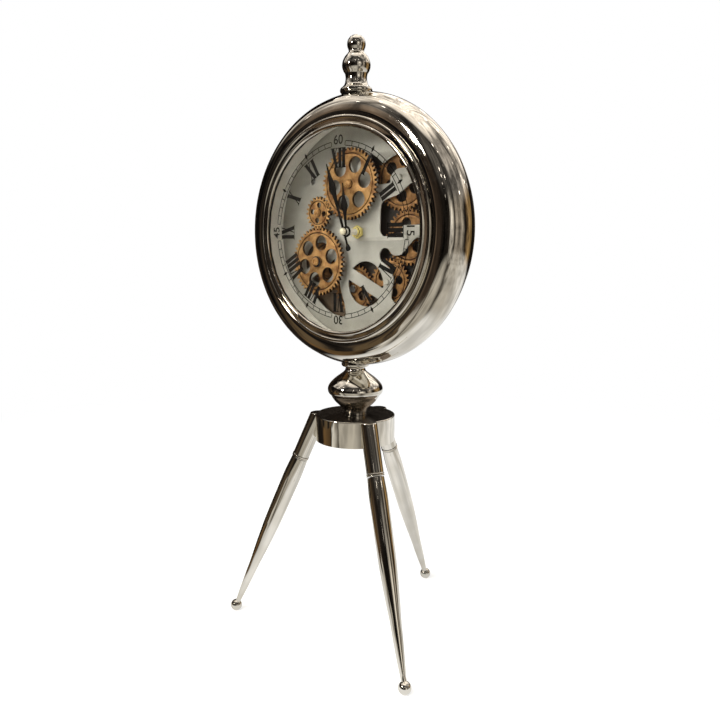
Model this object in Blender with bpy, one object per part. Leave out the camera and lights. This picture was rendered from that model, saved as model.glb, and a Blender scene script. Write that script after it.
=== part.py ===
"""Table clock with an open gear train, on a turned neck and three splayed legs.

Metres, +Z up. The dial looks along -Y. The dial's axis runs along Y through x = 0, y = CASE_Y.
Sizes in the first block drive the rest: fits, seats and holes follow from them.
"""
import bmesh
import bpy
import math
from mathutils import Matrix, Vector

MM = 0.001

# Stand: foot circle, leg line and heights
FOOT_R = 116.7 * MM
BALL_R = 5.4 * MM
FOOT_FLAT = 0.3 * MM
LEG_TOP_R = 33.0 * MM
LEG_R = 8.1 * MM
SOCKET_R = 7.5 * MM
SPIGOT_R = 5.0 * MM
SPIGOT_L = 20.0 * MM
COLLAR_R = 8.0 * MM
COLLAR_T = 2.6 * MM
COLLAR_ROUND = 0.6 * MM
RING_DROP = 41.9 * MM
HEAD_TOP_Z = 200.0 * MM
HEAD_R = 35.6 * MM
HEAD_T = 23.0 * MM
HEAD_EDGE = 1.2 * MM
BOLT_SEAT_T = 8.0 * MM

# Neck and bolt
NECK_H = 45.1 * MM
NECK_R = 24.7 * MM
BOLT_R = 3.0 * MM
BOLT_HEAD_T = 4.0 * MM
BOLT_NUT_T = 5.0 * MM
HEX_SHARE = 1.85

# Dial: the sleeve round the dial is the size that the case, glass, plates and train follow
LINER_R = 94.0 * MM

# Case: barrel, shells and rear
BARREL_WALL_R = 20.8 * MM
BARREL_SAG = 3.7 * MM
BARREL_HALF = 12.55 * MM
BARREL_MID = -2.0 * MM
SHELL_T = 1.2 * MM
SEAM_Y = 9.0 * MM
SEAM_LAP = 4.0 * MM
MOUTH_Y = -22.5 * MM
LIP_W = 5.6 * MM
BACK_STEP = 24.0 * MM
BACK_Y = 34.0 * MM
BACK_LIP_W = 6.0 * MM
COVER_STEP = 2.0 * MM
COVER_T = 1.4 * MM

# Finial
FINIAL_R = 13.8 * MM
FINIAL_H = 47.1 * MM
STUD_R = 2.5 * MM

# Glass, bezel and liner
REBATE_W = 3.0 * MM
BEZEL_CREST = 26.2 * MM
GLASS_STEP = 6.0 * MM
GLASS_T = 1.6 * MM
GLASS_BACK = -22.4 * MM
GASKET_W = 1.6 * MM
LINER_T = 1.2 * MM
LINER_LIP_W = 7.0 * MM
LINER_FOOT = 6.0 * MM

# Gear plates
PLATE_Y = 4.5 * MM
PLATE_T = 1.2 * MM
BRIDGE_Y = 14.0 * MM
BRIDGE_OVER = 2.0 * MM
PILLAR_R = 3.2 * MM
RIVET_R = 1.7 * MM
RIVET_HEAD_R = 3.0 * MM
RIVET_HEAD_T = 1.0 * MM

# Gears
MODULE_SHARE = 0.01383
FRONT_GEAR_Y = -3.5 * MM
GEAR_T = 3.0 * MM
ROOT_SHARE = 1.25
TIP_SHARE = 0.68
TIP_HALF_SHARE = 0.09
REAR_GEAR_Y = 8.5 * MM
SHAFT_R = 2.2 * MM
COLLAR_WALL = 1.6 * MM
ARBOR_R = 3.0 * MM
HEAD_WALL = 1.2 * MM
HEAD_THICK = 1.0 * MM
WASHER_T = 1.0 * MM

# Clockwork and hands
BOX_SHARE = 0.298
BOX_T = 16.0 * MM
BOX_EDGE = 1.0 * MM
TUBE_R = 2.7 * MM
MINUTE_SHAFT_R = 1.4 * MM
BUSHING_R = 4.0 * MM
BUSHING_END = 0.2 * MM
NUT_T = 3.3 * MM
HOUR_Y = -12.4 * MM
MINUTE_Y = -15.6 * MM
HAND_T = 0.8 * MM
HOUR_L = 41.4 * MM
MINUTE_L = 60.8 * MM
DOME_R = 3.0 * MM
DOME_L = 2.8 * MM
KNOB_R = 8.0 * MM
KNOB_T = 2.0 * MM
BATTERY_SHARES = (0.0755, 0.521)
NUB_R = 2.6 * MM
NUB_L = 1.3 * MM
MOTOR_SHARE = 0.1277
MOTOR_L = 15.0 * MM
MOTOR_SPIGOT_SHARE = 0.0638

# Small screws
SCREW_R = 1.2 * MM
SCREW_HEAD_R = 2.3 * MM
SCREW_HEAD_T = 1.2 * MM
SLOT_W = 0.5 * MM
SLOT_D = 0.5 * MM

# Clearances
GAP = 0.3 * MM
RUN = 0.10 * MM
OVER = 1.0 * MM
WELD = 0.002 * MM

# Counts and angles
LEG_COUNT = 3
LEG_FIRST_DEG = 60.0
LEG_NAMES = ("right", "back", "left")
FINE = 28
TURNED = 16
ROUND = 14
SMALL = 10
TINY = 8
LEAST = 6
UPPER_TEETH = 46
IDLER_TEETH = 21
LOWER_TEETH = 46
REAR_DRIVE_TEETH = 30
REAR_LOW_TEETH = 33
REAR_MID_TEETH = 30
REAR_SIDE_TEETH = 35
REAR_TOP_TEETH = 41
LOWER_TO_IDLER_DEG = 89.2
IDLER_TO_UPPER_DEG = 32.3
DRIVE_TO_LOW_DEG = -35.6
LOW_TO_MID_DEG = 10.0
MID_TO_SIDE_DEG = 63.1
SIDE_TO_TOP_DEG = 97.6
TWIST = 0.11
SHARP_DEG = 40.0
HOUR_DEG = -6.0
MINUTE_DEG = -19.1

# Values that follow
CASE_Y = -FOOT_R / 4
MOUTH_R = LINER_R + LINER_T
LIP_R = MOUTH_R - LIP_W
CASE_R = MOUTH_R + BARREL_WALL_R
BACK_R = CASE_R - BACK_STEP
COVER_R = BACK_R - COVER_STEP
BACK_LIP_R = COVER_R - BACK_LIP_W
GLASS_R = LINER_R - GLASS_STEP
OPENING_R = GLASS_R - REBATE_W
GASKET_IN = GLASS_R - GASKET_W
LINER_LIP = LINER_R - LINER_LIP_W
BRIDGE_R = LINER_R + BRIDGE_OVER
BOX_HALF = LINER_R * BOX_SHARE
BATTERY_R = LINER_R * BATTERY_SHARES[0]
BATTERY_L = LINER_R * BATTERY_SHARES[1]
MOTOR_R = LINER_R * MOTOR_SHARE
MOTOR_SPIGOT_R = LINER_R * MOTOR_SPIGOT_SHARE
GEAR_MODULE = LINER_R * MODULE_SHARE
AXIS_Z = HEAD_TOP_Z + GAP + NECK_H + GAP + CASE_R
SCREW_RING = (LIP_R * 2 + MOUTH_R) / 3
PLATE_RING = LINER_R + LINER_T + LINER_FOOT / 2
COVER_RING = (BACK_LIP_R + COVER_R) / 2
PLATE_BACK = PLATE_Y + PLATE_T
BRIDGE_BACK = BRIDGE_Y + PLATE_T
BOX_Y = BRIDGE_BACK + GAP
BOX_BACK = BOX_Y + BOX_T

# Share of the radius and height, outside of the neck from the top flange down
NECK_SHARES = (
    (0.500, 1.120), (0.500, 0.985), (0.356, 0.955), (0.352, 0.935), (0.405, 0.862), (0.628, 0.768),
    (0.870, 0.645), (0.970, 0.575), (1.000, 0.505), (0.970, 0.430), (0.850, 0.372), (0.870, 0.350),
    (0.798, 0.302), (0.700, 0.238), (0.545, 0.160), (0.415, 0.100), (0.400, 0.000),
)
# Share of the finial's radius and height, from the foot up
FINIAL_SHARES = (
    (0.900, -0.150), (0.930, 0.000), (1.000, 0.040), (0.960, 0.085), (0.690, 0.185), (0.665, 0.290),
    (0.830, 0.400), (0.875, 0.460), (0.830, 0.545), (0.700, 0.620), (0.470, 0.710), (0.560, 0.800),
    (0.560, 0.850), (0.420, 0.940), (0.220, 0.985), (0.000, 1.000),
)
# Share of the case's front depth and of the step from the mouth to the barrel
SHOULDER_SHARES = (
    (1.000, 0.000), (1.032, 0.160), (1.005, 0.360), (0.925, 0.580), (0.700, 0.860),
)
# Share of the run from the barrel's end to the back and of the drop in radius there
REAR_SHARES = (
    (0.220, 0.130), (0.480, 0.360), (0.740, 0.650), (1.000, 1.000),
)
# Share of the leg's line from the ring joint down to the ball, and of its largest radius
LEG_SHARES = (
    (0.000, 0.890), (0.120, 1.000), (0.230, 0.990), (0.445, 0.920), (0.510, 0.852), (0.610, 0.735),
    (0.710, 0.574), (0.795, 0.519), (0.945, 0.315),
)
# Corners of each opening in the plate, as shares of the liner's radius, with rounding shares
TOP_WINDOW_SHARES = (
    (0.128, 0.702), (0.170, 0.610), (0.213, 0.532), (0.225, 0.470), (0.213, 0.420), (0.367, 0.423),
    (0.364, 0.484), (0.436, 0.545), (0.647, 0.553), (0.575, 0.625), (0.500, 0.691), (0.362, 0.644),
    (0.277, 0.596), (0.220, 0.655),
)
SIDE_WINDOW_SHARES = (
    (0.257, 0.271), (0.465, 0.322), (0.574, 0.402), (0.705, 0.476), (0.800, 0.290), (0.849, 0.053),
    (0.500, 0.053), (0.500, -0.037), (0.282, -0.043), (0.252, 0.000),
)
LOW_WINDOW_SHARES = (
    (0.849, -0.053), (0.660, -0.058), (0.617, -0.085), (0.553, -0.149), (0.500, -0.202),
    (0.460, -0.216), (0.404, -0.213), (0.372, -0.186), (0.345, -0.150), (0.287, -0.145),
    (0.248, -0.191), (0.255, -0.255), (0.309, -0.293), (0.362, -0.330), (0.399, -0.383),
    (0.415, -0.436), (0.404, -0.479), (0.394, -0.532), (0.388, -0.606), (0.426, -0.644),
    (0.532, -0.665), (0.660, -0.536), (0.780, -0.337),
)
FOOT_WINDOW_SHARES = (
    (-0.740, -0.440), (-0.690, -0.400), (-0.640, -0.463), (-0.560, -0.510), (-0.480, -0.527),
    (-0.390, -0.518), (-0.310, -0.475), (-0.255, -0.425), (-0.234, -0.468), (-0.223, -0.543),
    (-0.181, -0.649), (-0.154, -0.777), (-0.181, -0.803), (-0.319, -0.787), (-0.426, -0.729),
    (-0.511, -0.660), (-0.638, -0.553),
)
ROUND_WINDOW_SHARE = (0.085, -0.479)
ROUND_WINDOW_R_SHARE = 0.210
ROUND_WINDOW_BAR_DEG = -25.6
LEFT_WINDOW_SHARE = (-0.489, -0.287)
LEFT_WINDOW_R_SHARE = 0.197
LEFT_WINDOW_BAR_DEG = 33.0
BAR_SHARE = 0.1128
LOWER_GEAR_SHARE = (-0.4447, -0.2761)
PILLAR_SHARES = ((-0.579, 0.494), (0.000, -0.947), (0.930, 0.000))

# Half widths of the hands as shares of their length
MINUTE_SHARES = (
    (0.060, 0.018), (0.300, 0.021), (0.460, 0.027), (0.545, 0.037), (0.625, 0.051), (0.668, 0.054),
    (0.740, 0.044), (0.820, 0.028), (0.920, 0.013), (1.000, 0.004),
)
MINUTE_TAIL_SHARES = ((-0.190, 0.017), (-0.215, 0.034), (-0.245, 0.043), (-0.275, 0.032), (-0.286, 0.006))
HOUR_SHARES = (
    (0.145, 0.028), (0.300, 0.031), (0.400, 0.048), (0.480, 0.080), (0.522, 0.087), (0.600, 0.070),
    (0.700, 0.042), (0.820, 0.021), (0.920, 0.013), (1.000, 0.005),
)
HUB_SHARE = 0.055
HOUR_HUB_SHARE = 0.137


def clear_scene():
    """Remove what the start-up scene holds."""
    for item in list(bpy.data.objects):
        bpy.data.objects.remove(item, do_unlink=True)


def finish(name, colour, metallic, roughness):
    """A plain Principled material."""
    made = bpy.data.materials.new(name)
    made.use_nodes = True
    shader = made.node_tree.nodes["Principled BSDF"]
    shader.inputs["Base Color"].default_value = (*colour, 1.0)
    shader.inputs["Metallic"].default_value = metallic
    shader.inputs["Roughness"].default_value = roughness
    return made


def gunmetal(name):
    return finish(name, (0.42, 0.40, 0.37), 1.0, 0.18)


def steel(name):
    return finish(name, (0.56, 0.55, 0.52), 1.0, 0.30)


def brass(name):
    return finish(name, (0.62, 0.42, 0.18), 1.0, 0.35)


def black(name):
    return finish(name, (0.02, 0.02, 0.02), 0.0, 0.40)


def clear(name):
    return finish(name, (0.90, 0.94, 0.94), 0.0, 0.03)


def shade(mesh):
    """Round faces smooth, edges sharper than SHARP_DEG kept crisp."""
    mesh.shade_smooth()
    mesh.set_sharp_from_angle(angle=math.radians(SHARP_DEG))


def new_object(name, mesh_maker, look):
    """Add a mesh object made from a bmesh."""
    bmesh.ops.remove_doubles(mesh_maker, verts=mesh_maker.verts, dist=WELD)
    bmesh.ops.recalc_face_normals(mesh_maker, faces=mesh_maker.faces)
    mesh = bpy.data.meshes.new(name)
    mesh_maker.to_mesh(mesh)
    mesh_maker.free()
    shade(mesh)
    made = bpy.data.objects.new(name, mesh)
    bpy.context.scene.collection.objects.link(made)
    mesh.materials.append(look(name))
    return made


def spun(profile, axis, segments):
    """Turn a closed profile of (radius, height) about an axis into a bmesh."""
    made = bmesh.new()
    points = []
    for radius, height in profile:
        place = Vector((radius, height, 0.0)) if axis == "y" else Vector((radius, 0.0, height))
        points.append(made.verts.new(place))
    edges = []
    for index, point in enumerate(points):
        following = points[(index + 1) % len(points)]
        on_axis = abs(point.co.x) < WELD and abs(following.co.x) < WELD
        if not on_axis:
            edges.append(made.edges.new((point, following)))
    turn = Vector((0.0, 1.0, 0.0)) if axis == "y" else Vector((0.0, 0.0, 1.0))
    bmesh.ops.spin(made, geom=points + edges, cent=(0, 0, 0), axis=turn, angle=math.tau,
                   steps=segments, use_merge=True)
    bmesh.ops.dissolve_degenerate(made, dist=WELD, edges=made.edges)
    return made


def turned(name, profile, look, axis="y", segments=ROUND):
    """A lathe-turned piece."""
    return new_object(name, spun(profile, axis, segments), look)


def flat_cut(name, loops, front, thick, look):
    """A sheet piece: closed outlines in x and z, filled with their holes left open."""
    curve = bpy.data.curves.new(name, "CURVE")
    curve.dimensions = "2D"
    curve.fill_mode = "BOTH"
    curve.extrude = thick / 2
    for loop in loops:
        spline = curve.splines.new("POLY")
        spline.points.add(len(loop) - 1)
        for index, (across, up) in enumerate(loop):
            spline.points[index].co = (across, up, 0.0, 1.0)
        spline.use_cyclic_u = True
    holder = bpy.data.objects.new(name, curve)
    bpy.context.scene.collection.objects.link(holder)
    depsgraph = bpy.context.evaluated_depsgraph_get()
    mesh = bpy.data.meshes.new_from_object(holder.evaluated_get(depsgraph))
    bpy.data.objects.remove(holder, do_unlink=True)
    made = bmesh.new()
    made.from_mesh(mesh)
    bpy.data.meshes.remove(mesh)
    made.transform(Matrix.Translation((0.0, front + thick / 2, 0.0)) @ Matrix.Rotation(math.pi / 2, 4, "X"))
    return new_object(name, made, look)


def combined(body, tool, operation, solver="EXACT"):
    """Apply a Boolean and drop its tool."""
    change = body.modifiers.new(operation.title(), "BOOLEAN")
    change.operation = operation
    change.solver = solver
    change.object = tool
    depsgraph = bpy.context.evaluated_depsgraph_get()
    mesh = bpy.data.meshes.new_from_object(body.evaluated_get(depsgraph))
    body.modifiers.clear()
    old = body.data
    look = old.materials[0]
    body.data = mesh
    mesh.materials.clear()
    mesh.materials.append(look)
    for face in mesh.polygons:
        face.material_index = 0
    shade(mesh)
    bpy.data.meshes.remove(old)
    bpy.data.objects.remove(tool, do_unlink=True)


def cut(body, tool, solver="EXACT"):
    combined(body, tool, "DIFFERENCE", solver)


def join(body, tool, solver="EXACT"):
    combined(body, tool, "UNION", solver)


def placed(body, across, depth, up):
    """Set a piece's origin in the world."""
    body.location = (across, depth, up)
    return body


def in_case(body, across=0.0, up=0.0):
    """Place a piece whose y values are read from the dial's axis point."""
    return placed(body, across, CASE_Y, AXIS_Z + up)


def circle(radius, count, centre=(0.0, 0.0), first=0.0):
    """Points round a circle in x and z."""
    step = math.tau / count
    return [
        (centre[0] + radius * math.cos(first + step * index), centre[1] + radius * math.sin(first + step * index))
        for index in range(count)
    ]


def rod(name, radius, low, high, axis="y", segments=ROUND, look=black):
    """A plain cylinder between two heights, for joining or cutting, its edges set off from others' edges."""
    body = turned(name, [(0.0, low), (radius, low), (radius, high), (0.0, high)], look, axis, segments)
    body.data.transform(Matrix.Rotation(TWIST, 4, axis.upper()))
    return body


def bar(name, sizes, centre, look=black):
    """A plain block, for joining or cutting."""
    made = bmesh.new()
    bmesh.ops.create_cube(made, size=1.0)
    made.transform(Matrix.Translation(centre) @ Matrix.Diagonal((*sizes, 1.0)))
    return new_object(name, made, look)


def shift(body, across, depth, up):
    body.data.transform(Matrix.Translation((across, depth, up)))
    return body


# Case profile

def barrel_r(depth):
    """Outer radius of the case on its rounded barrel."""
    return CASE_R - BARREL_SAG * ((depth - BARREL_MID) / BARREL_HALF) ** 2


def case_outline():
    """Outer profile (radius, depth) from the mouth to the back."""
    front_end = BARREL_MID - BARREL_HALF
    rear_end = BARREL_MID + BARREL_HALF
    points = []
    for run, rise in SHOULDER_SHARES:
        depth = front_end + (MOUTH_Y - front_end) * run
        points.append((MOUTH_R + (barrel_r(front_end) - MOUTH_R) * rise, depth))
    count = 4
    for index in range(count + 1):
        depth = front_end + (rear_end - front_end) * index / count
        points.append((barrel_r(depth), depth))
    for run, drop in REAR_SHARES:
        depth = rear_end + (BACK_Y - rear_end) * run
        points.append((barrel_r(rear_end) + (BACK_R - barrel_r(rear_end)) * drop, depth))
    return points


def radius_at(outline, depth):
    """Radius of an outline at a depth, by straight lines between its points."""
    ordered = sorted(outline, key=lambda point: point[1])
    for (r_one, d_one), (r_two, d_two) in zip(ordered, ordered[1:]):
        if d_one <= depth <= d_two and d_two > d_one:
            return r_one + (r_two - r_one) * (depth - d_one) / (d_two - d_one)
    return ordered[-1][0]


def inset(outline, thick):
    """The outline moved inwards by a wall's thickness, square to itself."""
    moved = []
    for index, (radius, depth) in enumerate(outline):
        before = outline[max(index - 1, 0)]
        after = outline[min(index + 1, len(outline) - 1)]
        run = Vector((after[0] - before[0], after[1] - before[1])).normalized()
        moved.append((radius - run.y * thick, depth + run.x * thick))
    return moved


def case_tool(grow):
    """The case's outer shape as a solid, grown by a gap."""
    outline = inset(case_outline(), -grow)
    profile = [(0.0, outline[0][1])] + outline + [(0.0, outline[-1][1])]
    tool = turned("case_tool", profile, black, "y", FINE * 2)
    return in_case(tool)


def front_inner():
    """Inner profile of the front shell, with fewer points than its outside."""
    inner_all = inset(case_outline(), SHELL_T)
    inner = [point for point in inner_all if MOUTH_Y + SHELL_T * 2 < point[1] < SEAM_Y][::2]
    inner.append((radius_at(inner_all, SEAM_Y), SEAM_Y))
    return inner


def inner_seat(nut_r):
    """Distance from the dial's axis at which a nut's corners just clear the shell's inner face."""
    inner = front_inner()
    clear_at = []
    for index in range(6):
        turn = math.tau * index / 6
        across, depth = (nut_r * math.cos(turn), nut_r * math.sin(turn))
        clear_at.append(radius_at(inner, depth) - abs(across) * math.tan(math.pi / FINE))
    return min(clear_at) - GAP


def build_front_case():
    """Front shell: mouth lip, shoulder and barrel up to the seam."""
    outline = case_outline()
    front = [point for point in outline if point[1] < SEAM_Y]
    outer = front + [(radius_at(outline, SEAM_Y), SEAM_Y)]
    inner = front_inner()
    seat = bezel_back() + GAP
    lip = [(MOUTH_R, seat), (LIP_R, seat), (LIP_R, seat + SHELL_T), (inner[0][0] - SHELL_T, seat + SHELL_T)]
    profile = outer + inner[::-1] + lip[::-1]
    body = turned("front_case", profile, gunmetal, "y", FINE)
    in_case(body)
    for low, high, radius in ((0.0, CASE_R * 2, STUD_R + GAP), (-CASE_R * 2, 0.0, BOLT_R + GAP)):
        hole = rod("hole", radius, low, high, "z", SMALL)
        cut(body, placed(hole, 0, CASE_Y, AXIS_Z))
    for angle in screw_angles():
        across, up = (SCREW_RING * math.cos(angle), SCREW_RING * math.sin(angle))
        hole = rod("hole", SCREW_R + GAP, seat - OVER, seat + SHELL_T + OVER, "y", LEAST)
        cut(body, in_case(hole, across, up))
    return body


def build_rear_case():
    """Rear shell: lap ring inside the front shell, then round to the back lip."""
    outline = case_outline()
    inner_all = inset(outline, SHELL_T)
    start = SEAM_Y + GAP
    rear = [point for point in outline if point[1] > start]
    outer = [(radius_at(outline, start), start)] + rear
    lap_out = radius_at(inner_all, SEAM_Y - SEAM_LAP) - GAP
    lap_out = min(lap_out, radius_at(inner_all, SEAM_Y) - GAP)
    lap_in = lap_out - SHELL_T
    lap = [(lap_out, start), (lap_out, SEAM_Y - SEAM_LAP), (lap_in, SEAM_Y - SEAM_LAP), (lap_in, start)]
    inner = [p for p in inner_all if start + SHELL_T < p[1] < BACK_Y - SHELL_T * 2 and p[0] < lap_in]
    lip = [(inner[-1][0] - SHELL_T / 2, BACK_Y - SHELL_T), (BACK_LIP_R, BACK_Y - SHELL_T), (BACK_LIP_R, BACK_Y)]
    profile = outer + lip[::-1] + inner[::-1] + lap[::-1]
    body = turned("rear_case", profile, gunmetal, "y", FINE)
    in_case(body)
    for angle in screw_angles():
        across, up = (COVER_RING * math.cos(angle), COVER_RING * math.sin(angle))
        hole = rod("hole", SCREW_R + GAP, BACK_Y - SHELL_T - OVER, BACK_Y + OVER, "y", LEAST)
        cut(body, in_case(hole, across, up))
    return body


def screw_angles(first=90.0):
    """Three screws evenly spaced, one at the top."""
    return [math.radians(first + 360.0 * index / LEG_COUNT) for index in range(LEG_COUNT)]


# Bezel, glass, gasket and liner

def bezel_back():
    return GLASS_BACK + OVER


def build_bezel():
    """Bezel ring: a rounded band round the glass, a flat ring and an outer bead."""
    lip = GLASS_BACK - GLASS_T - GAP
    crest = -BEZEL_CREST
    step = lip - crest
    wide = MOUTH_R - GAP - OPENING_R
    front = [
        (0.000, 0.00), (0.020, 0.60), (0.180, 1.00), (0.320, 0.78), (0.420, 0.05), (0.664, -0.05),
        (0.740, 0.42), (0.836, 0.52), (0.930, 0.36), (1.000, -0.26),
    ]
    profile = [(OPENING_R + wide * share, lip - step * rise) for share, rise in front]
    profile.append((MOUTH_R - GAP, bezel_back()))
    profile.append((GLASS_R + GAP, bezel_back()))
    profile.append((GLASS_R + GAP, lip))
    body = turned("bezel", profile, gunmetal, "y", FINE)
    in_case(body)
    for angle in screw_angles():
        across, up = (SCREW_RING * math.cos(angle), SCREW_RING * math.sin(angle))
        hole = rod("hole", SCREW_R + GAP, bezel_back() - OVER * 1.5, bezel_back() + OVER, "y", LEAST)
        cut(body, in_case(hole, across, up))
    return body


def build_glass():
    front = GLASS_BACK - GLASS_T
    edge = GLASS_T / 4
    profile = [
        (0.0, front), (GLASS_R - edge, front), (GLASS_R, front + edge), (GLASS_R, GLASS_BACK), (0.0, GLASS_BACK),
    ]
    return in_case(turned("glass", profile, clear, "y", FINE))


def liner_front():
    return bezel_back() + GAP + SHELL_T + GAP


def build_gasket():
    front = GLASS_BACK + GAP
    back = liner_front() - GAP
    profile = [(GASKET_IN, front), (GLASS_R, front), (GLASS_R, back), (GASKET_IN, back)]
    return in_case(turned("glass_gasket", profile, black, "y", FINE))


def build_liner():
    """Sleeve between glass and gear plate: front flange on the lip, rear flange for the plate."""
    front = liner_front()
    back = PLATE_Y - GAP
    outer = LINER_R + LINER_T
    profile = [
        (LINER_LIP, front), (outer, front), (outer, back - LINER_T), (outer + LINER_FOOT, back - LINER_T),
        (outer + LINER_FOOT, back), (LINER_R, back), (LINER_R, front + LINER_T), (LINER_LIP, front + LINER_T),
    ]
    body = turned("dial_liner", profile, steel, "y", FINE)
    in_case(body)
    for angle in screw_angles():
        across, up = (SCREW_RING * math.cos(angle), SCREW_RING * math.sin(angle))
        hole = rod("hole", SCREW_R + GAP, front - OVER, front + LINER_T + OVER, "y", LEAST)
        cut(body, in_case(hole, across, up))
        across, up = (PLATE_RING * math.cos(angle), PLATE_RING * math.sin(angle))
        hole = rod("hole", SCREW_R + GAP, back - LINER_T - OVER, back + OVER, "y", LEAST)
        cut(body, in_case(hole, across, up))
    return body


def screw(name, tip, under_head, look, facing=1):
    """A slotted screw along y: the head is behind under_head when facing is 1, before it when -1."""
    top = under_head + facing * SCREW_HEAD_T
    profile = [
        (0.0, tip), (SCREW_R, tip), (SCREW_R, under_head), (SCREW_HEAD_R, under_head),
        (SCREW_HEAD_R, top - facing * SLOT_D), (SCREW_HEAD_R * 0.8, top), (0.0, top),
    ]
    body = turned(name, profile, look, "y", LEAST)
    slot = bar("slot", (SCREW_HEAD_R * 3, SLOT_D * 2, SLOT_W), (0.0, top, 0.0))
    cut(body, slot)
    return body


def build_screws():
    """Bezel, plate and cover screws, three of each."""
    front = liner_front()
    for index, angle in enumerate(screw_angles()):
        place = (SCREW_RING * math.cos(angle), SCREW_RING * math.sin(angle))
        tip = bezel_back() - OVER
        in_case(screw(f"bezel_screw_{index + 1}", tip, front + LINER_T + GAP, steel), *place)
        place = (PLATE_RING * math.cos(angle), PLATE_RING * math.sin(angle))
        tip = PLATE_Y - GAP - LINER_T - OVER / 2
        in_case(screw(f"plate_screw_{index + 1}", tip, PLATE_BACK + GAP, steel), *place)
        place = (COVER_RING * math.cos(angle), COVER_RING * math.sin(angle))
        tip = BACK_Y - SHELL_T - OVER
        in_case(screw(f"cover_screw_{index + 1}", tip, BACK_Y + GAP + COVER_T + GAP, steel), *place)


def build_rear_cover():
    """Pressed back cover with a rolled edge."""
    front = BACK_Y + GAP
    back = front + COVER_T
    rim = COVER_R
    profile = [(0.0, front), (rim, front), (rim, back - COVER_T / 2), (rim - COVER_T / 2, back), (0.0, back)]
    body = turned("rear_cover", profile, gunmetal, "y", FINE)
    in_case(body)
    for angle in screw_angles():
        across, up = (COVER_RING * math.cos(angle), COVER_RING * math.sin(angle))
        hole = rod("hole", SCREW_R + GAP, front - OVER, back + OVER, "y", LEAST)
        cut(body, in_case(hole, across, up))
    return body


# Gear positions and phases

def stepped(start, degrees, teeth_one, teeth_two):
    """Centre of the next gear of a train."""
    reach = GEAR_MODULE * (teeth_one + teeth_two) / 2
    turn = math.radians(degrees)
    return (start[0] + reach * math.cos(turn), start[1] + reach * math.sin(turn))


def next_phase(phase, degrees, teeth_one, teeth_two):
    """Angle of the next gear's first tooth that sets its gaps on the other's teeth, in degrees."""
    share_one = ((degrees - phase) * teeth_one / 360.0) % 1.0
    share_two = 0.5 - share_one
    return degrees + 180.0 - share_two * 360.0 / teeth_two


def gear_train():
    """Centre, tooth count and phase of every gear, by name."""
    lower = (LINER_R * LOWER_GEAR_SHARE[0], LINER_R * LOWER_GEAR_SHARE[1])
    idler = stepped(lower, LOWER_TO_IDLER_DEG, LOWER_TEETH, IDLER_TEETH)
    upper = stepped(idler, IDLER_TO_UPPER_DEG, IDLER_TEETH, UPPER_TEETH)
    low = stepped(lower, DRIVE_TO_LOW_DEG, REAR_DRIVE_TEETH, REAR_LOW_TEETH)
    mid = stepped(low, LOW_TO_MID_DEG, REAR_LOW_TEETH, REAR_MID_TEETH)
    side = stepped(mid, MID_TO_SIDE_DEG, REAR_MID_TEETH, REAR_SIDE_TEETH)
    top = stepped(side, SIDE_TO_TOP_DEG, REAR_SIDE_TEETH, REAR_TOP_TEETH)
    idler_phase = next_phase(0.0, LOWER_TO_IDLER_DEG, LOWER_TEETH, IDLER_TEETH)
    upper_phase = next_phase(idler_phase, IDLER_TO_UPPER_DEG, IDLER_TEETH, UPPER_TEETH)
    low_phase = next_phase(0.0, DRIVE_TO_LOW_DEG, REAR_DRIVE_TEETH, REAR_LOW_TEETH)
    mid_phase = next_phase(low_phase, LOW_TO_MID_DEG, REAR_LOW_TEETH, REAR_MID_TEETH)
    side_phase = next_phase(mid_phase, MID_TO_SIDE_DEG, REAR_MID_TEETH, REAR_SIDE_TEETH)
    top_phase = next_phase(side_phase, SIDE_TO_TOP_DEG, REAR_SIDE_TEETH, REAR_TOP_TEETH)
    return {
        "gear_lower": (lower, LOWER_TEETH, 0.0),
        "gear_idler": (idler, IDLER_TEETH, idler_phase),
        "gear_upper": (upper, UPPER_TEETH, upper_phase),
        "rear_gear_drive": (lower, REAR_DRIVE_TEETH, 0.0),
        "rear_gear_low": (low, REAR_LOW_TEETH, low_phase),
        "rear_gear_mid": (mid, REAR_MID_TEETH, mid_phase),
        "rear_gear_side": (side, REAR_SIDE_TEETH, side_phase),
        "rear_gear_top": (top, REAR_TOP_TEETH, top_phase),
    }


def tooth_loop(teeth, phase):
    """Outline of a gear: straight-flanked teeth with working backlash."""
    pitch_r = GEAR_MODULE * teeth / 2
    root_r = pitch_r - GEAR_MODULE * ROOT_SHARE
    tip_r = pitch_r + GEAR_MODULE * TIP_SHARE
    step = 360.0 / teeth
    tip_half = step * TIP_HALF_SHARE
    points = []
    for index in range(teeth):
        middle = phase + step * index
        for radius, offset in ((tip_r, -tip_half), (tip_r, tip_half), (root_r, step / 2)):
            turn = math.radians(middle + offset)
            points.append((radius * math.cos(turn), radius * math.sin(turn)))
    return points


def build_gear(name, front, shaft_r, collar_front, collar_back, holes, look=brass):
    """A spur gear: toothed disc with round holes and a collar each side of it."""
    centre, teeth, phase = gear_train()[name]
    count, hole_share, ring_share, first = holes
    pitch_r = GEAR_MODULE * teeth / 2
    collar_r = shaft_r + COLLAR_WALL
    loops = [tooth_loop(teeth, phase)]
    for index in range(count):
        turn = math.radians(first + 360.0 * index / count)
        place = (pitch_r * ring_share * math.cos(turn), pitch_r * ring_share * math.sin(turn))
        loops.append(circle(pitch_r * hole_share, TINY, place))
    body = flat_cut(name, loops, front, GEAR_T, look)
    join(body, rod("collar", collar_r, collar_front, collar_back, "y", SMALL))
    cut(body, rod("bore", shaft_r, collar_front - OVER, collar_back + OVER))
    return in_case(body, *centre)


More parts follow.
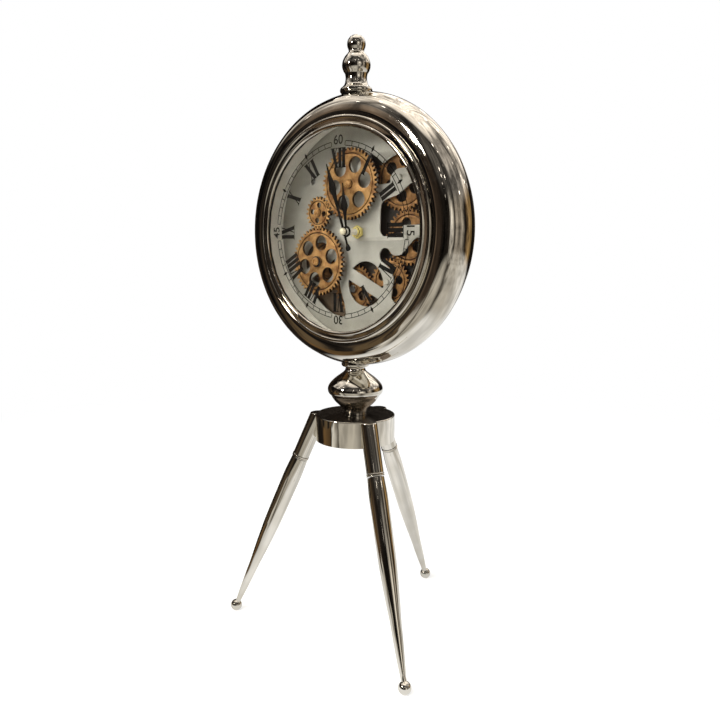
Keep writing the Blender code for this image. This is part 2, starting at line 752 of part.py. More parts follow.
def build_front_gears():
    """Two wheels and the small idler that stand before the plate."""
    front = FRONT_GEAR_Y
    boss = front - HEAD_WALL
    seat = PLATE_Y - GAP
    build_gear("gear_lower", front, ARBOR_R + GAP, boss, seat, (6, 0.227, 0.569, 16.0))
    build_gear("gear_idler", front, SHAFT_R + RUN, boss, seat, (4, 0.176, 0.520, 80.0))
    build_gear("gear_upper", front, SHAFT_R + RUN, boss, seat, (6, 0.227, 0.569, 8.0))


def build_rear_gears():
    """The train between the plates, driven by the same arbor."""
    front = REAR_GEAR_Y
    near = PLATE_BACK + GAP * 2
    far = BRIDGE_Y - GAP * 2
    build_gear("rear_gear_drive", front, ARBOR_R + GAP, near, far, (5, 0.200, 0.560, 20.0))
    build_gear("rear_gear_low", front, SHAFT_R + RUN, front - HEAD_WALL, far, (5, 0.215, 0.560, 40.0))
    build_gear("rear_gear_mid", front, SHAFT_R + RUN, near, far, (5, 0.200, 0.560, 10.0))
    build_gear("rear_gear_side", front, SHAFT_R + RUN, near, far, (5, 0.215, 0.560, 30.0))
    build_gear("rear_gear_top", front, SHAFT_R + RUN, near, far, (6, 0.215, 0.570, 25.0))


def build_studs():
    """Fixed shoulder studs the gears turn on, riveted through the plates."""
    train = gear_train()
    neck = RIVET_R
    head_back = FRONT_GEAR_Y - HEAD_WALL - GAP
    keep_r = SHAFT_R + HEAD_WALL
    for name, gear in (("idler_stud", "gear_idler"), ("upper_stud", "gear_upper")):
        rivet = PLATE_BACK + GAP
        profile = [
            (0.0, head_back - HEAD_THICK), (keep_r * 0.6, head_back - HEAD_THICK),
            (keep_r, head_back - HEAD_THICK / 2), (keep_r, head_back), (SHAFT_R, head_back),
            (SHAFT_R, PLATE_Y - GAP), (neck, PLATE_Y - GAP), (neck, rivet),
            (RIVET_HEAD_R, rivet), (RIVET_HEAD_R * 0.8, rivet + RIVET_HEAD_T), (0.0, rivet + RIVET_HEAD_T),
        ]
        in_case(turned(name, profile, brass, "y", SMALL), *train[gear][0])
    back = BRIDGE_BACK + GAP
    tail = [
        (SHAFT_R, BRIDGE_Y - GAP), (neck, BRIDGE_Y - GAP), (neck, back), (RIVET_HEAD_R, back),
        (RIVET_HEAD_R * 0.8, back + RIVET_HEAD_T), (0.0, back + RIVET_HEAD_T),
    ]
    front = PLATE_Y - GAP
    for name, gear in (("mid_stud", "rear_gear_mid"), ("side_stud", "rear_gear_side"), ("top_stud", "rear_gear_top")):
        profile = [
            (0.0, front - RIVET_HEAD_T), (RIVET_HEAD_R * 0.7, front - RIVET_HEAD_T), (RIVET_HEAD_R, front),
            (neck, front), (neck, PLATE_BACK + GAP), (SHAFT_R, PLATE_BACK + GAP),
        ] + tail
        in_case(turned(name, profile, steel, "y", TINY), *train[gear][0])
    keeper = REAR_GEAR_Y - HEAD_WALL - GAP
    profile = [
        (0.0, keeper - HEAD_THICK), (keep_r * 0.7, keeper - HEAD_THICK), (keep_r, keeper - HEAD_THICK / 2),
        (keep_r, keeper), (SHAFT_R, keeper),
    ] + tail
    in_case(turned("low_stud", profile, steel, "y", SMALL), *train["rear_gear_low"][0])


def build_arbor():
    """The driven arbor that carries the lower gear and the rear drive gear, with washer and socket screw."""
    place = gear_train()["gear_lower"][0]
    nose = FRONT_GEAR_Y - HEAD_WALL
    tail = BOX_Y + MOTOR_L / 2
    tapped = nose + GEAR_T
    screw_r = SCREW_R
    profile = [
        (screw_r + GAP, nose), (ARBOR_R, nose), (ARBOR_R, tail), (0.0, tail), (0.0, tapped), (screw_r + GAP, tapped),
    ]
    in_case(turned("drive_arbor", profile, steel), *place)
    outer = ARBOR_R + COLLAR_WALL + GAP
    back = nose - GAP
    ring = [(screw_r + GAP, back - WASHER_T), (outer, back - WASHER_T), (outer, back), (screw_r + GAP, back)]
    in_case(turned("drive_washer", ring, black), *place)
    seat = back - WASHER_T - GAP
    head_r = outer * 0.78
    head = [
        (0.0, seat - HEAD_THICK * 1.6), (head_r * 0.85, seat - HEAD_THICK * 1.6), (head_r, seat - HEAD_THICK),
        (head_r, seat), (screw_r, seat), (screw_r, tapped - GAP), (0.0, tapped - GAP),
    ]
    body = turned("drive_screw", head, brass)
    socket = rod("socket", head_r * 0.42, seat - HEAD_THICK * 2, seat - HEAD_THICK * 0.6, "y", 6)
    cut(body, socket)
    in_case(body, *place)


# Plates

def rounded(corners, share, steps):
    """Round every corner of a closed outline by a share of its shorter side."""
    if not steps:
        return list(corners)
    points = []
    count = len(corners)
    for index, corner in enumerate(corners):
        here = Vector(corner)
        before = Vector(corners[index - 1])
        after = Vector(corners[(index + 1) % count])
        reach = share * min((before - here).length, (after - here).length)
        start = here + (before - here).normalized() * reach
        end = here + (after - here).normalized() * reach
        for step in range(steps + 1):
            t = step / steps
            points.append(tuple(start * (1 - t) ** 2 + here * 2 * t * (1 - t) + end * t ** 2))
    return points


def scaled(shares):
    return [(LINER_R * across, LINER_R * up) for across, up in shares]


def barred_window(centre, radius, degrees, through, width):
    """The two round segments left when a bar crosses a round window."""
    turn = math.radians(degrees)
    along = Vector((math.cos(turn), math.sin(turn)))
    across = Vector((-along.y, along.x))
    middle = Vector(centre)
    offset = (Vector(through) - middle).dot(across)
    loops = []
    for side in (1, -1):
        edge = side * offset + width / 2
        half = math.acos(max(-1.0, min(1.0, edge / radius)))
        steps = 8
        loop = []
        for index in range(steps + 1):
            angle = -half + 2 * half * index / steps
            point = middle + across * side * radius * math.cos(angle) + along * radius * math.sin(angle)
            loop.append(tuple(point))
        loops.append(loop)
    return loops


def plate_holes():
    """Round holes the front plate and the bridge share: studs, pillars, arbor and bushing."""
    train = gear_train()
    small = RIVET_R + GAP
    spots = [(train[name][0], small) for name in ("rear_gear_mid", "rear_gear_side", "rear_gear_top")]
    spots += [(place, small) for place in scaled(PILLAR_SHARES)]
    spots.append(((0.0, 0.0), BUSHING_R + GAP))
    return spots


def build_front_plate():
    """The pierced plate: windows cut round the train, with two bars left across the round ones."""
    train = gear_train()
    edge = LINER_R + LINER_T + LINER_FOOT
    lower = train["gear_lower"][0]
    width = LINER_R * BAR_SHARE
    low_centre = (LINER_R * ROUND_WINDOW_SHARE[0], LINER_R * ROUND_WINDOW_SHARE[1])
    left_centre = (LINER_R * LEFT_WINDOW_SHARE[0], LINER_R * LEFT_WINDOW_SHARE[1])
    loops = [circle(edge, FINE)]
    for corners, share, steps in (
        (TOP_WINDOW_SHARES, 0.30, 1), (SIDE_WINDOW_SHARES, 0.15, 1), (LOW_WINDOW_SHARES, 0.0, 0),
        (FOOT_WINDOW_SHARES, 0.0, 0),
    ):
        loops.append(rounded(scaled(corners), share, steps))
    loops += barred_window(low_centre, LINER_R * ROUND_WINDOW_R_SHARE, ROUND_WINDOW_BAR_DEG, low_centre, width)
    loops += barred_window(left_centre, LINER_R * LEFT_WINDOW_R_SHARE, LEFT_WINDOW_BAR_DEG, lower, width)
    for place, radius in plate_holes():
        loops.append(circle(radius, LEAST if radius < BUSHING_R else ROUND, place))
    for name in ("gear_idler", "gear_upper"):
        loops.append(circle(RIVET_R + GAP, LEAST, train[name][0]))
    for angle in screw_angles():
        loops.append(circle(SCREW_R + GAP, LEAST, (PLATE_RING * math.cos(angle), PLATE_RING * math.sin(angle))))
    loops.append(circle(ARBOR_R + RUN, ROUND, lower))
    return in_case(flat_cut("dial_plate", loops, PLATE_Y, PLATE_T, steel))


def build_bridge():
    """Rear plate that carries the back ends of the arbor, studs and pillars, and the clockwork."""
    train = gear_train()
    loops = [circle(BRIDGE_R, FINE)]
    for place, radius in plate_holes():
        loops.append(circle(radius, LEAST if radius < BUSHING_R else ROUND, place))
    loops.append(circle(RIVET_R + GAP, LEAST, train["rear_gear_low"][0]))
    loops.append(circle(MOTOR_SPIGOT_R + GAP, ROUND, train["gear_lower"][0]))
    return in_case(flat_cut("gear_bridge", loops, BRIDGE_Y, PLATE_T, steel))


def build_pillars():
    """Riveted pillars between plate and bridge."""
    front = PLATE_Y - GAP
    back = BRIDGE_BACK + GAP
    profile = [
        (0.0, front - RIVET_HEAD_T), (RIVET_HEAD_R * 0.6, front - RIVET_HEAD_T * 0.8), (RIVET_HEAD_R, front),
        (RIVET_R, front), (RIVET_R, PLATE_BACK + GAP), (PILLAR_R, PLATE_BACK + GAP), (PILLAR_R, BRIDGE_Y - GAP),
        (RIVET_R, BRIDGE_Y - GAP), (RIVET_R, back), (RIVET_HEAD_R, back), (0.0, back + RIVET_HEAD_T),
    ]
    for index, place in enumerate(scaled(PILLAR_SHARES)):
        in_case(turned(f"pillar_{index + 1}", profile, steel, "y", TINY), *place)


# Clockwork

def hexagon(name, radius, bore, low, high, axis, look):
    """A hexagon nut with a round bore."""
    body = turned(name, [(0.0, low), (radius, low), (radius, high), (0.0, high)], look, axis, 6)
    cut(body, rod("bore", bore, low - OVER, high + OVER, axis, ROUND))
    return body


def build_movement():
    """Sealed clockwork box with its threaded bushing and a battery bay open to the back."""
    body = bar("movement_case", (BOX_HALF * 2, BOX_T, BOX_HALF * 2), (0.0, BOX_Y + BOX_T / 2, 0.0), black)
    edges = body.modifiers.new("Edges", "BEVEL")
    edges.width = BOX_EDGE
    edges.segments = 2
    edges.limit_method = "ANGLE"
    join(body, rod("bushing", BUSHING_R, BUSHING_END, BOX_Y + BOX_EDGE))
    near, far, step = (BUSHING_END - OVER, BOX_BACK + OVER, BOX_Y + BOX_T / 3)
    wide, slim = (TUBE_R + RUN, MINUTE_SHAFT_R + RUN)
    bore = [(0.0, near), (wide, near), (wide, step), (slim, step), (slim, far), (0.0, far)]
    cut(body, turned("bore", bore, black))
    wide = BATTERY_L + NUB_L + GAP * 2
    bay = BATTERY_R * 2 + GAP * 2
    floor = BOX_BACK - bay
    up = battery_up()
    cut(body, bar("bay", (wide, bay + OVER, bay), (0.0, floor + (bay + OVER) / 2, up)))
    return in_case(body)


def battery_up():
    return -BOX_HALF + SHELL_T + GAP + BATTERY_R


def build_battery():
    """Round cell lying across the foot of the clockwork."""
    body = rod("battery", BATTERY_R, -BATTERY_L / 2, BATTERY_L / 2, "z", ROUND, brass)
    join(body, rod("nub", NUB_R, BATTERY_L / 2 - OVER, BATTERY_L / 2 + NUB_L, "z", SMALL))
    body.data.transform(Matrix.Rotation(math.pi / 2, 4, "Y"))
    shift(body, -NUB_L / 2, BOX_BACK - BATTERY_R - GAP, 0.0)
    return in_case(body, 0.0, battery_up())


def hand_loops(length, shares, hub_r, hub_steps, tail_shares):
    """Outline of a hand: hub circle opened onto a leaf-shaped blade and an optional tail."""
    right = [(length * half, length * run) for run, half in shares]
    left = [(-across, up) for across, up in right[::-1]]
    start = math.acos(right[0][0] / hub_r)
    tail = [(length * half, length * run) for run, half in tail_shares]
    outline = right[::-1]
    if tail:
        end = -math.acos(tail[0][0] / hub_r)
        for index in range(1, hub_steps):
            turn = start + (end - start) * index / hub_steps
            outline.append((hub_r * math.cos(turn), hub_r * math.sin(turn)))
        outline += tail
        outline += [(-across, up) for across, up in tail[::-1]]
        for index in range(1, hub_steps):
            turn = end + (start - end) * index / hub_steps
            outline.append((-hub_r * math.cos(turn), hub_r * math.sin(turn)))
    else:
        for index in range(1, hub_steps * 2):
            turn = start - (math.pi + 2 * start) * index / (hub_steps * 2)
            outline.append((hub_r * math.cos(turn), hub_r * math.sin(turn)))
    return outline + left[::-1]


def build_hands():
    """Leaf hands, the hour tube, the minute shaft and its dome nut and setting knob."""
    hub = MINUTE_L * HUB_SHARE
    loop = hand_loops(MINUTE_L, MINUTE_SHARES, hub, 6, MINUTE_TAIL_SHARES)
    body = flat_cut("minute_hand", [loop, circle(MINUTE_SHAFT_R + GAP, SMALL)], MINUTE_Y, HAND_T, black)
    body.data.transform(Matrix.Rotation(math.radians(MINUTE_DEG), 4, "Y"))
    in_case(body)
    hub = HOUR_L * HOUR_HUB_SHARE
    loop = hand_loops(HOUR_L, HOUR_SHARES, hub, 8, ())
    body = flat_cut("hour_hand", [loop, circle(TUBE_R + GAP, SMALL)], HOUR_Y, HAND_T, black)
    body.data.transform(Matrix.Rotation(math.radians(HOUR_DEG), 4, "Y"))
    in_case(body)
    tube_end = HOUR_Y - HAND_T / 2
    tube_back = BOX_Y + BOX_T / 3 - GAP
    bore = MINUTE_SHAFT_R + RUN
    profile = [(bore, tube_end), (TUBE_R, tube_end), (TUBE_R, tube_back), (bore, tube_back)]
    in_case(turned("hour_tube", profile, steel, "y", SMALL))
    shoulder_back = tube_end - GAP
    shoulder_front = MINUTE_Y + HAND_T + GAP
    knob_front = BOX_BACK + GAP
    nose = MINUTE_Y - DOME_L / 2
    profile = [
        (0.0, nose), (MINUTE_SHAFT_R, nose), (MINUTE_SHAFT_R, shoulder_front), (TUBE_R * 0.85, shoulder_front),
        (TUBE_R * 0.85, shoulder_back), (MINUTE_SHAFT_R, shoulder_back), (MINUTE_SHAFT_R, knob_front + KNOB_T / 2),
        (0.0, knob_front + KNOB_T / 2),
    ]
    in_case(turned("minute_shaft", profile, steel, "y", SMALL))
    back = MINUTE_Y - GAP
    tip = back - DOME_L
    dome = [(0.0, tip)]
    for index in range(1, 5):
        turn = math.pi / 2 * index / 4
        dome.append((DOME_R * math.sin(turn), tip + (DOME_L - HAND_T) * (1 - math.cos(turn))))
    dome += [(DOME_R, back), (MINUTE_SHAFT_R + GAP, back), (MINUTE_SHAFT_R + GAP, nose - GAP), (0.0, nose - GAP)]
    in_case(turned("dome_nut", dome, brass, "y", SMALL))
    knob = [(0.0, knob_front + KNOB_T / 2 + GAP), (MINUTE_SHAFT_R + GAP, knob_front + KNOB_T / 2 + GAP)]
    knob += [(MINUTE_SHAFT_R + GAP, knob_front), (KNOB_R, knob_front), (KNOB_R, knob_front + KNOB_T * 0.8)]
    knob += [(KNOB_R * 0.95, knob_front + KNOB_T), (0.0, knob_front + KNOB_T)]
    in_case(turned("setting_knob", knob, black))
    seat = PLATE_Y - GAP
    nut_r = (BUSHING_R + GAP) * 1.46
    in_case(hexagon("hex_nut", nut_r, BUSHING_R + GAP, seat - NUT_T, seat, "y", brass))


def build_motor():
    """Small geared motor behind the bridge that turns the arbor."""
    place = gear_train()["gear_lower"][0]
    bore = ARBOR_R + RUN
    end = BOX_Y + MOTOR_L
    deep = BOX_Y + MOTOR_L / 2 + GAP
    profile = [
        (bore, BRIDGE_Y), (MOTOR_SPIGOT_R, BRIDGE_Y), (MOTOR_SPIGOT_R, BOX_Y), (MOTOR_R, BOX_Y), (MOTOR_R, end),
        (0.0, end), (0.0, deep), (bore, deep),
    ]
    in_case(turned("gear_motor", profile, steel), *place)


# Finial and neck

def build_finial():
    """Turned finial with its foot cut to the barrel, on a stud held by a nut inside."""
    base = AXIS_Z + CASE_R
    profile = [(0.0, -FINIAL_H * 0.15)]
    profile += [(FINIAL_R * radius, FINIAL_H * up) for radius, up in FINIAL_SHARES]
    body = turned("finial", profile, gunmetal, "z", TURNED)
    placed(body, 0, CASE_Y, base)
    cut(body, case_tool(GAP))
    nut_r = STUD_R * HEX_SHARE
    top = inner_seat(nut_r) - CASE_R
    low = top - BOLT_NUT_T - OVER
    join(body, placed(rod("stud", STUD_R, low, FINIAL_H * 0.1, "z", SMALL), 0, CASE_Y, base))
    nut = hexagon("finial_nut", nut_r, STUD_R + GAP, top - BOLT_NUT_T, top, "z", steel)
    placed(nut, 0, CASE_Y, base)
    return body


def build_neck():
    """Turned neck with its top flange cut to the barrel, and the long bolt through head, neck and case."""
    body_profile = [(NECK_R * radius, NECK_H * up) for radius, up in NECK_SHARES]
    bore = BOLT_R + GAP
    profile = body_profile + [(bore, 0.0), (bore, NECK_H * NECK_SHARES[0][1])]
    body = turned("neck", profile, gunmetal, "z", TURNED)
    placed(body, 0, CASE_Y, HEAD_TOP_Z + GAP)
    cut(body, case_tool(GAP))
    nut_r = BOLT_R * HEX_SHARE
    seat = AXIS_Z - inner_seat(nut_r)
    top = seat + BOLT_NUT_T + OVER
    under = HEAD_TOP_Z - HEAD_T + BOLT_SEAT_T - GAP
    head = [(0.0, under - BOLT_HEAD_T), (nut_r, under - BOLT_HEAD_T), (nut_r, under), (0.0, under)]
    bolt = turned("neck_bolt", head, steel, "z", 6)
    join(bolt, rod("shank", BOLT_R, under - BOLT_HEAD_T / 2, top, "z", ROUND))
    placed(bolt, 0, CASE_Y, 0)
    nut = hexagon("neck_nut", nut_r, BOLT_R + GAP, seat, seat + BOLT_NUT_T, "z", steel)
    placed(nut, 0, CASE_Y, 0)


# Legs and head

def leg_line():
    """Foot centre and top point of a leg's axis in (radius, height)."""
    foot = Vector((FOOT_R, BALL_R - FOOT_FLAT))
    top = Vector((LEG_TOP_R, HEAD_TOP_Z))
    return foot, top


def leg_matrix(angle):
    """Turn a piece built along +Z from the foot's centre onto a leg's line."""
    foot, top = leg_line()
    lean = math.atan2(foot.x - top.x, top.y - foot.y)
    tilt = Matrix.Rotation(-lean, 4, "Y")
    spin = Matrix.Rotation(angle, 4, "Z")
    return spin @ Matrix.Translation((foot.x, 0.0, foot.y)) @ tilt


def ring_run():
    """Length along the leg's axis from the foot's centre to the ring joint."""
    foot, top = leg_line()
    return (top - foot).length * (1 - RING_DROP / (top.y - foot.y))


def leg_angles():
    """Azimuth of each leg about +Z, from +X, for legs at the right front, the back and the left front."""
    first = LEG_FIRST_DEG - 90.0
    return [math.radians(first + 360.0 * index / LEG_COUNT) for index in range(LEG_COUNT)]


def build_legs():
    """Three turned legs with ball feet, each plugged into its socket through a collar."""
    run = ring_run()
    shoulder = run - COLLAR_T / 2 - GAP
    profile = [(0.0, -BALL_R)]
    steps = 7
    for index in range(1, steps):
        turn = math.pi * index / steps
        if turn < math.pi * 0.84:
            profile.append((BALL_R * math.sin(turn), -BALL_R * math.cos(turn)))
    for share, radius in LEG_SHARES[::-1]:
        profile.append((LEG_R * radius, shoulder * (1 - share)))
    profile += [(SPIGOT_R, shoulder), (SPIGOT_R, shoulder + SPIGOT_L), (0.0, shoulder + SPIGOT_L)]
    ring = [
        (SPIGOT_R + GAP, run - COLLAR_T / 2), (COLLAR_R, run - COLLAR_T / 2),
        (COLLAR_R, run - COLLAR_ROUND / 2), (COLLAR_R - COLLAR_ROUND, run), (COLLAR_R, run + COLLAR_ROUND / 2),
        (COLLAR_R, run + COLLAR_T / 2), (SPIGOT_R + GAP, run + COLLAR_T / 2),
    ]
    for side, angle in zip(LEG_NAMES, leg_angles()):
        body = turned(f"leg_{side}", profile, gunmetal, "z", SMALL)
        body.data.transform(leg_matrix(angle))
        floor = bar("floor", (FOOT_R * 4, FOOT_R * 4, BALL_R * 2), (0.0, 0.0, -BALL_R))
        cut(body, floor)
        placed(body, 0, CASE_Y, 0)
        collar = turned(f"leg_collar_{side}", ring, gunmetal, "z", SMALL)
        collar.data.transform(leg_matrix(angle))
        placed(collar, 0, CASE_Y, 0)


def build_head():
    """Drum with three slanting sockets, cut off flat on top, bored for the bolt."""
    low = HEAD_TOP_Z - HEAD_T
    high = HEAD_TOP_Z
    drum = [
        (0.0, low), (HEAD_R - HEAD_EDGE, low), (HEAD_R, low + HEAD_EDGE), (HEAD_R, high + OVER), (0.0, high + OVER),
    ]
    body = turned("tripod_head", drum, gunmetal, "z", FINE)
    foot, top = leg_line()
    length = (top - foot).length
    start = ring_run() + COLLAR_T / 2 + GAP
    for angle in leg_angles():
        tube = rod("tube", SOCKET_R, start, length + SOCKET_R, "z", ROUND)
        tube.data.transform(leg_matrix(angle))
        join(body, tube, "MANIFOLD")
    lid = bar("lid", (FOOT_R * 2, FOOT_R * 2, SOCKET_R * 4), (0.0, 0.0, high + SOCKET_R * 2))
    cut(body, lid, "MANIFOLD")
    for angle in leg_angles():
        socket_end = ring_run() - COLLAR_T / 2 + SPIGOT_L + GAP
        socket = rod("socket", SPIGOT_R + GAP, start - OVER, socket_end, "z", ROUND)
        socket.data.transform(leg_matrix(angle))
        cut(body, socket, "MANIFOLD")
    bolt_bore = rod("bolt_bore", BOLT_R + GAP, low - OVER, high + OVER, "z", ROUND)
    bolt_seat = rod("bolt_seat", BOLT_R * HEX_SHARE + OVER, low - OVER, low + BOLT_SEAT_T, "z", ROUND)
    cut(body, bolt_bore, "MANIFOLD")
    cut(body, bolt_seat, "MANIFOLD")
    return placed(body, 0, CASE_Y, 0)


def main():
    clear_scene()
    build_head()
    build_legs()
    build_neck()
    build_finial()
    build_front_case()
    build_rear_case()
    build_bezel()
    build_glass()
    build_gasket()
    build_liner()
    build_screws()
    build_rear_cover()
    build_front_plate()
    build_bridge()
    build_pillars()
    build_front_gears()
    build_rear_gears()
    build_studs()
    build_arbor()
    build_movement()
    build_battery()
    build_hands()
    build_motor()


main()
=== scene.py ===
"""Looks of the table clock: fine surfaces, finishes, studio and camera.

Lengths are millimetres until a piece is formed, which turns them to metres. Pieces of the case are
read from the middle of the dial, with y running to the back, and pieces of the stand from the floor.
"""
import logging
import math
from dataclasses import dataclass, field
from enum import Enum
from typing import Sequence

import bmesh
import bpy
from mathutils import Matrix, Vector


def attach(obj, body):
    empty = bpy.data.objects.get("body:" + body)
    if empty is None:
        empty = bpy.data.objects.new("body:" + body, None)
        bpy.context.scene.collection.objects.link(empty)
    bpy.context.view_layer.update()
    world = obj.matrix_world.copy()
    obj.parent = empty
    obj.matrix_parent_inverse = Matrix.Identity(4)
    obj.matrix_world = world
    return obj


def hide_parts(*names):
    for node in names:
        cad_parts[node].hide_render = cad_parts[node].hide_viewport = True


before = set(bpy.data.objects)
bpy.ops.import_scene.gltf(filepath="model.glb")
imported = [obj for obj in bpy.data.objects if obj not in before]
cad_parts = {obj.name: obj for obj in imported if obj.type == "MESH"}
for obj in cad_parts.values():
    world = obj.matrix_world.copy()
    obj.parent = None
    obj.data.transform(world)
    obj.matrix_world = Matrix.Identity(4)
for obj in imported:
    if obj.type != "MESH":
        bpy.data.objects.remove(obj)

LOG = logging.getLogger("table_clock")
Point = tuple[float, float]
Outline = list[Point]
Shape = bmesh.types.BMesh
Tree = bpy.types.NodeTree
Look = bpy.types.Material
Feed = bpy.types.Node | bpy.types.NodeSocket
# Centre, tooth count and phase of every wheel
Train = dict[str, tuple[Point, int, float]]

MM = 0.001
# Points closer than this become one
WELD = 1e-4
# Air left between two pieces that meet
GAP = 0.3
CASE_Y = -29.175
AXIS_Z = 361.7
CASE_R = 116.0
LINER_R = 94.0
DIAL = Matrix.Translation((0.0, CASE_Y, AXIS_Z))
POST = Matrix.Translation((0.0, CASE_Y, 0.0))
# Stands a flat drawing up, so that its y becomes z
STANDING = Matrix.Rotation(math.pi / 2, 4, "X")


class Body(Enum):
    """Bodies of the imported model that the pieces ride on."""

    STAND = "stand_and_case"
    DRIVE = "drive_train"
    IDLER = "idler"
    UPPER = "upper"
    REAR_LOW = "rear_low"
    REAR_MID = "rear_mid"
    REAR_SIDE = "rear_side"
    REAR_TOP = "rear_top"
    MINUTE = "minute"
    HOUR = "hour"


class Slot(Enum):
    """Material slots of the record."""

    GUNMETAL = "gunmetal"
    PLATE = "plate_steel"
    SCREW = "screw_steel"
    GEAR = "gear_brass"
    TURNED = "turned_brass"
    TUBE = "tube_nickel"
    HAND = "hand_black"
    GLASS = "glass_clear"


class Axis(Enum):
    """Axis that a turned piece is spun about."""

    DIAL = 1
    UPRIGHT = 2


def linear(code: str) -> tuple[float, float, float, float]:
    """Turn an sRGB hex value to linear colour.

    Args:
        code: The value, with its leading mark.

    Returns:
        Red, green and blue, with full alpha.
    """
    parts = [int(code[start:start + 2], 16) / 255 for start in (1, 3, 5)]
    red, green, blue = [
        part / 12.92 if part <= 0.04045 else ((part + 0.055) / 1.055) ** 2.4 for part in parts
    ]
    return red, green, blue, 1.0


def feed(tree: Tree, node: bpy.types.Node, settings: dict, links: dict) -> bpy.types.Node:
    """Give a shader node its settings and links.

    Args:
        tree: The node tree it is in.
        node: The node.
        settings: Values by input or attribute; "stops" are a ramp's places with hex colours, and
            "span" is where a range starts and ends, with what the two ends become.
        links: The socket that feeds each input, or the node whose first output does.

    Returns:
        The same node.
    """
    for key, value in settings.items():
        if key == "stops":
            ramp = node.color_ramp.elements
            while len(ramp) < len(value):
                ramp.new(0.5)
            for element, (place, code) in zip(ramp, value):
                element.position = place
                element.color = linear(code)
        elif key == "span":
            for index, number in enumerate(value, 1):
                node.inputs[index].default_value = number
        elif isinstance(key, int) or key in node.inputs:
            node.inputs[key].default_value = value
        else:
            setattr(node, key, value)
    for key, source in links.items():
        socket = source.outputs[0] if isinstance(source, bpy.types.Node) else source
        tree.links.new(socket, node.inputs[key])
    return node


def add(tree: Tree, kind: str, settings: dict | None = None, links: dict | None = None) -> bpy.types.Node:
    """Add a shader node with its settings and links.

    Args:
        tree: The node tree it goes into.
        kind: The node's type without its ShaderNode prefix.
        settings: Its values, as feed() takes them.
        links: What feeds its inputs, as feed() takes it.

    Returns:
        The new node.
    """
    return feed(tree, tree.nodes.new("ShaderNode" + kind), settings or {}, links or {})


def emptied(owner: bpy.types.Material | bpy.types.World) -> Tree:
    """Empty the node tree of a material or world.

    Args:
        owner: The material or world.

    Returns:
        Its node tree.
    """
    owner.use_nodes = True
    owner.node_tree.nodes.clear()
    return owner.node_tree


def sight(tree: Tree) -> tuple[Feed, Feed]:
    """Tell a ray seen straight or through glass from one that metal or glass reflects.

    Args:
        tree: The node tree it goes into.

    Returns:
        A node that gives 1 for seen rays and one that gives 1 for reflected rays.
    """
    path = add(tree, "LightPath")
    first = add(tree, "Math", {"operation": "LESS_THAN", 1: 0.5}, {0: path.outputs["Diffuse Depth"]})
    mirrored = add(tree, "Math", {"operation": "GREATER_THAN", 1: 0.5}, {0: path.outputs["Glossy Depth"]})
    shiny = add(tree, "Math", {"operation": "MULTIPLY"}, {0: first, 1: mirrored})
    direct = add(tree, "Math", {"operation": "MAXIMUM"},
                 {0: path.outputs["Is Camera Ray"], 1: path.outputs["Is Transmission Ray"]})
    plain = add(tree, "Math", {"operation": "SUBTRACT"}, {0: first, 1: shiny})
    seen = add(tree, "Math", {"operation": "MULTIPLY"}, {0: plain, 1: direct})
    return seen, shiny


def azimuth(tree: Tree, parts: bpy.types.Node) -> tuple[Feed, Feed]:
    """Work out the angle round the upright axis.

    Args:
        tree: The node tree it goes into.
        parts: The node that splits a direction or a place.

    Returns:
        The angle in radians, and the same angle brought to 0 and 1.
    """
    angle = add(tree, "Math", {"operation": "ARCTAN2"}, {0: parts.outputs["Y"], 1: parts.outputs["X"]})
    return angle, add(tree, "MapRange", {"span": (-math.pi, math.pi)}, {"Value": angle})


def facing(tree: Tree, axis: str) -> Feed:
    """How far a face looks along an axis of the object."""
    normal = add(tree, "TexCoord").outputs["Normal"]
    return add(tree, "SeparateXYZ", {}, {"Vector": normal}).outputs[axis]


@dataclass(frozen=True)
class Finish:
    """What every finish starts from and ends with."""

    name: str

    def begin(self) -> tuple[Look, Tree, Feed]:
        """Start a material and return it with its tree and its Object coordinates."""
        made = bpy.data.materials.new(self.name)
        made.use_nodes = True
        return made, made.node_tree, add(made.node_tree, "TexCoord").outputs["Object"]

    def end(
        self, made: Look, values: dict, links: dict, relief: tuple[Feed, float, float] | None = None
    ) -> Look:
        """Feed the Principled shader.

        Args:
            made: The material.
            values: What is the same all over the surface.
            links: What feeds the inputs that vary.
            relief: Height, strength and depth in millimetres of the fine relief, where it has one.

        Returns:
            The material.
        """
        tree = made.node_tree
        if relief:
            height, strength, depth = relief
            bump = add(tree, "Bump", {"Strength": strength, "Distance": depth * MM}, {"Height": height})
            links = {**links, "Normal": bump}
        feed(tree, tree.nodes["Principled BSDF"], values, links)
        return made


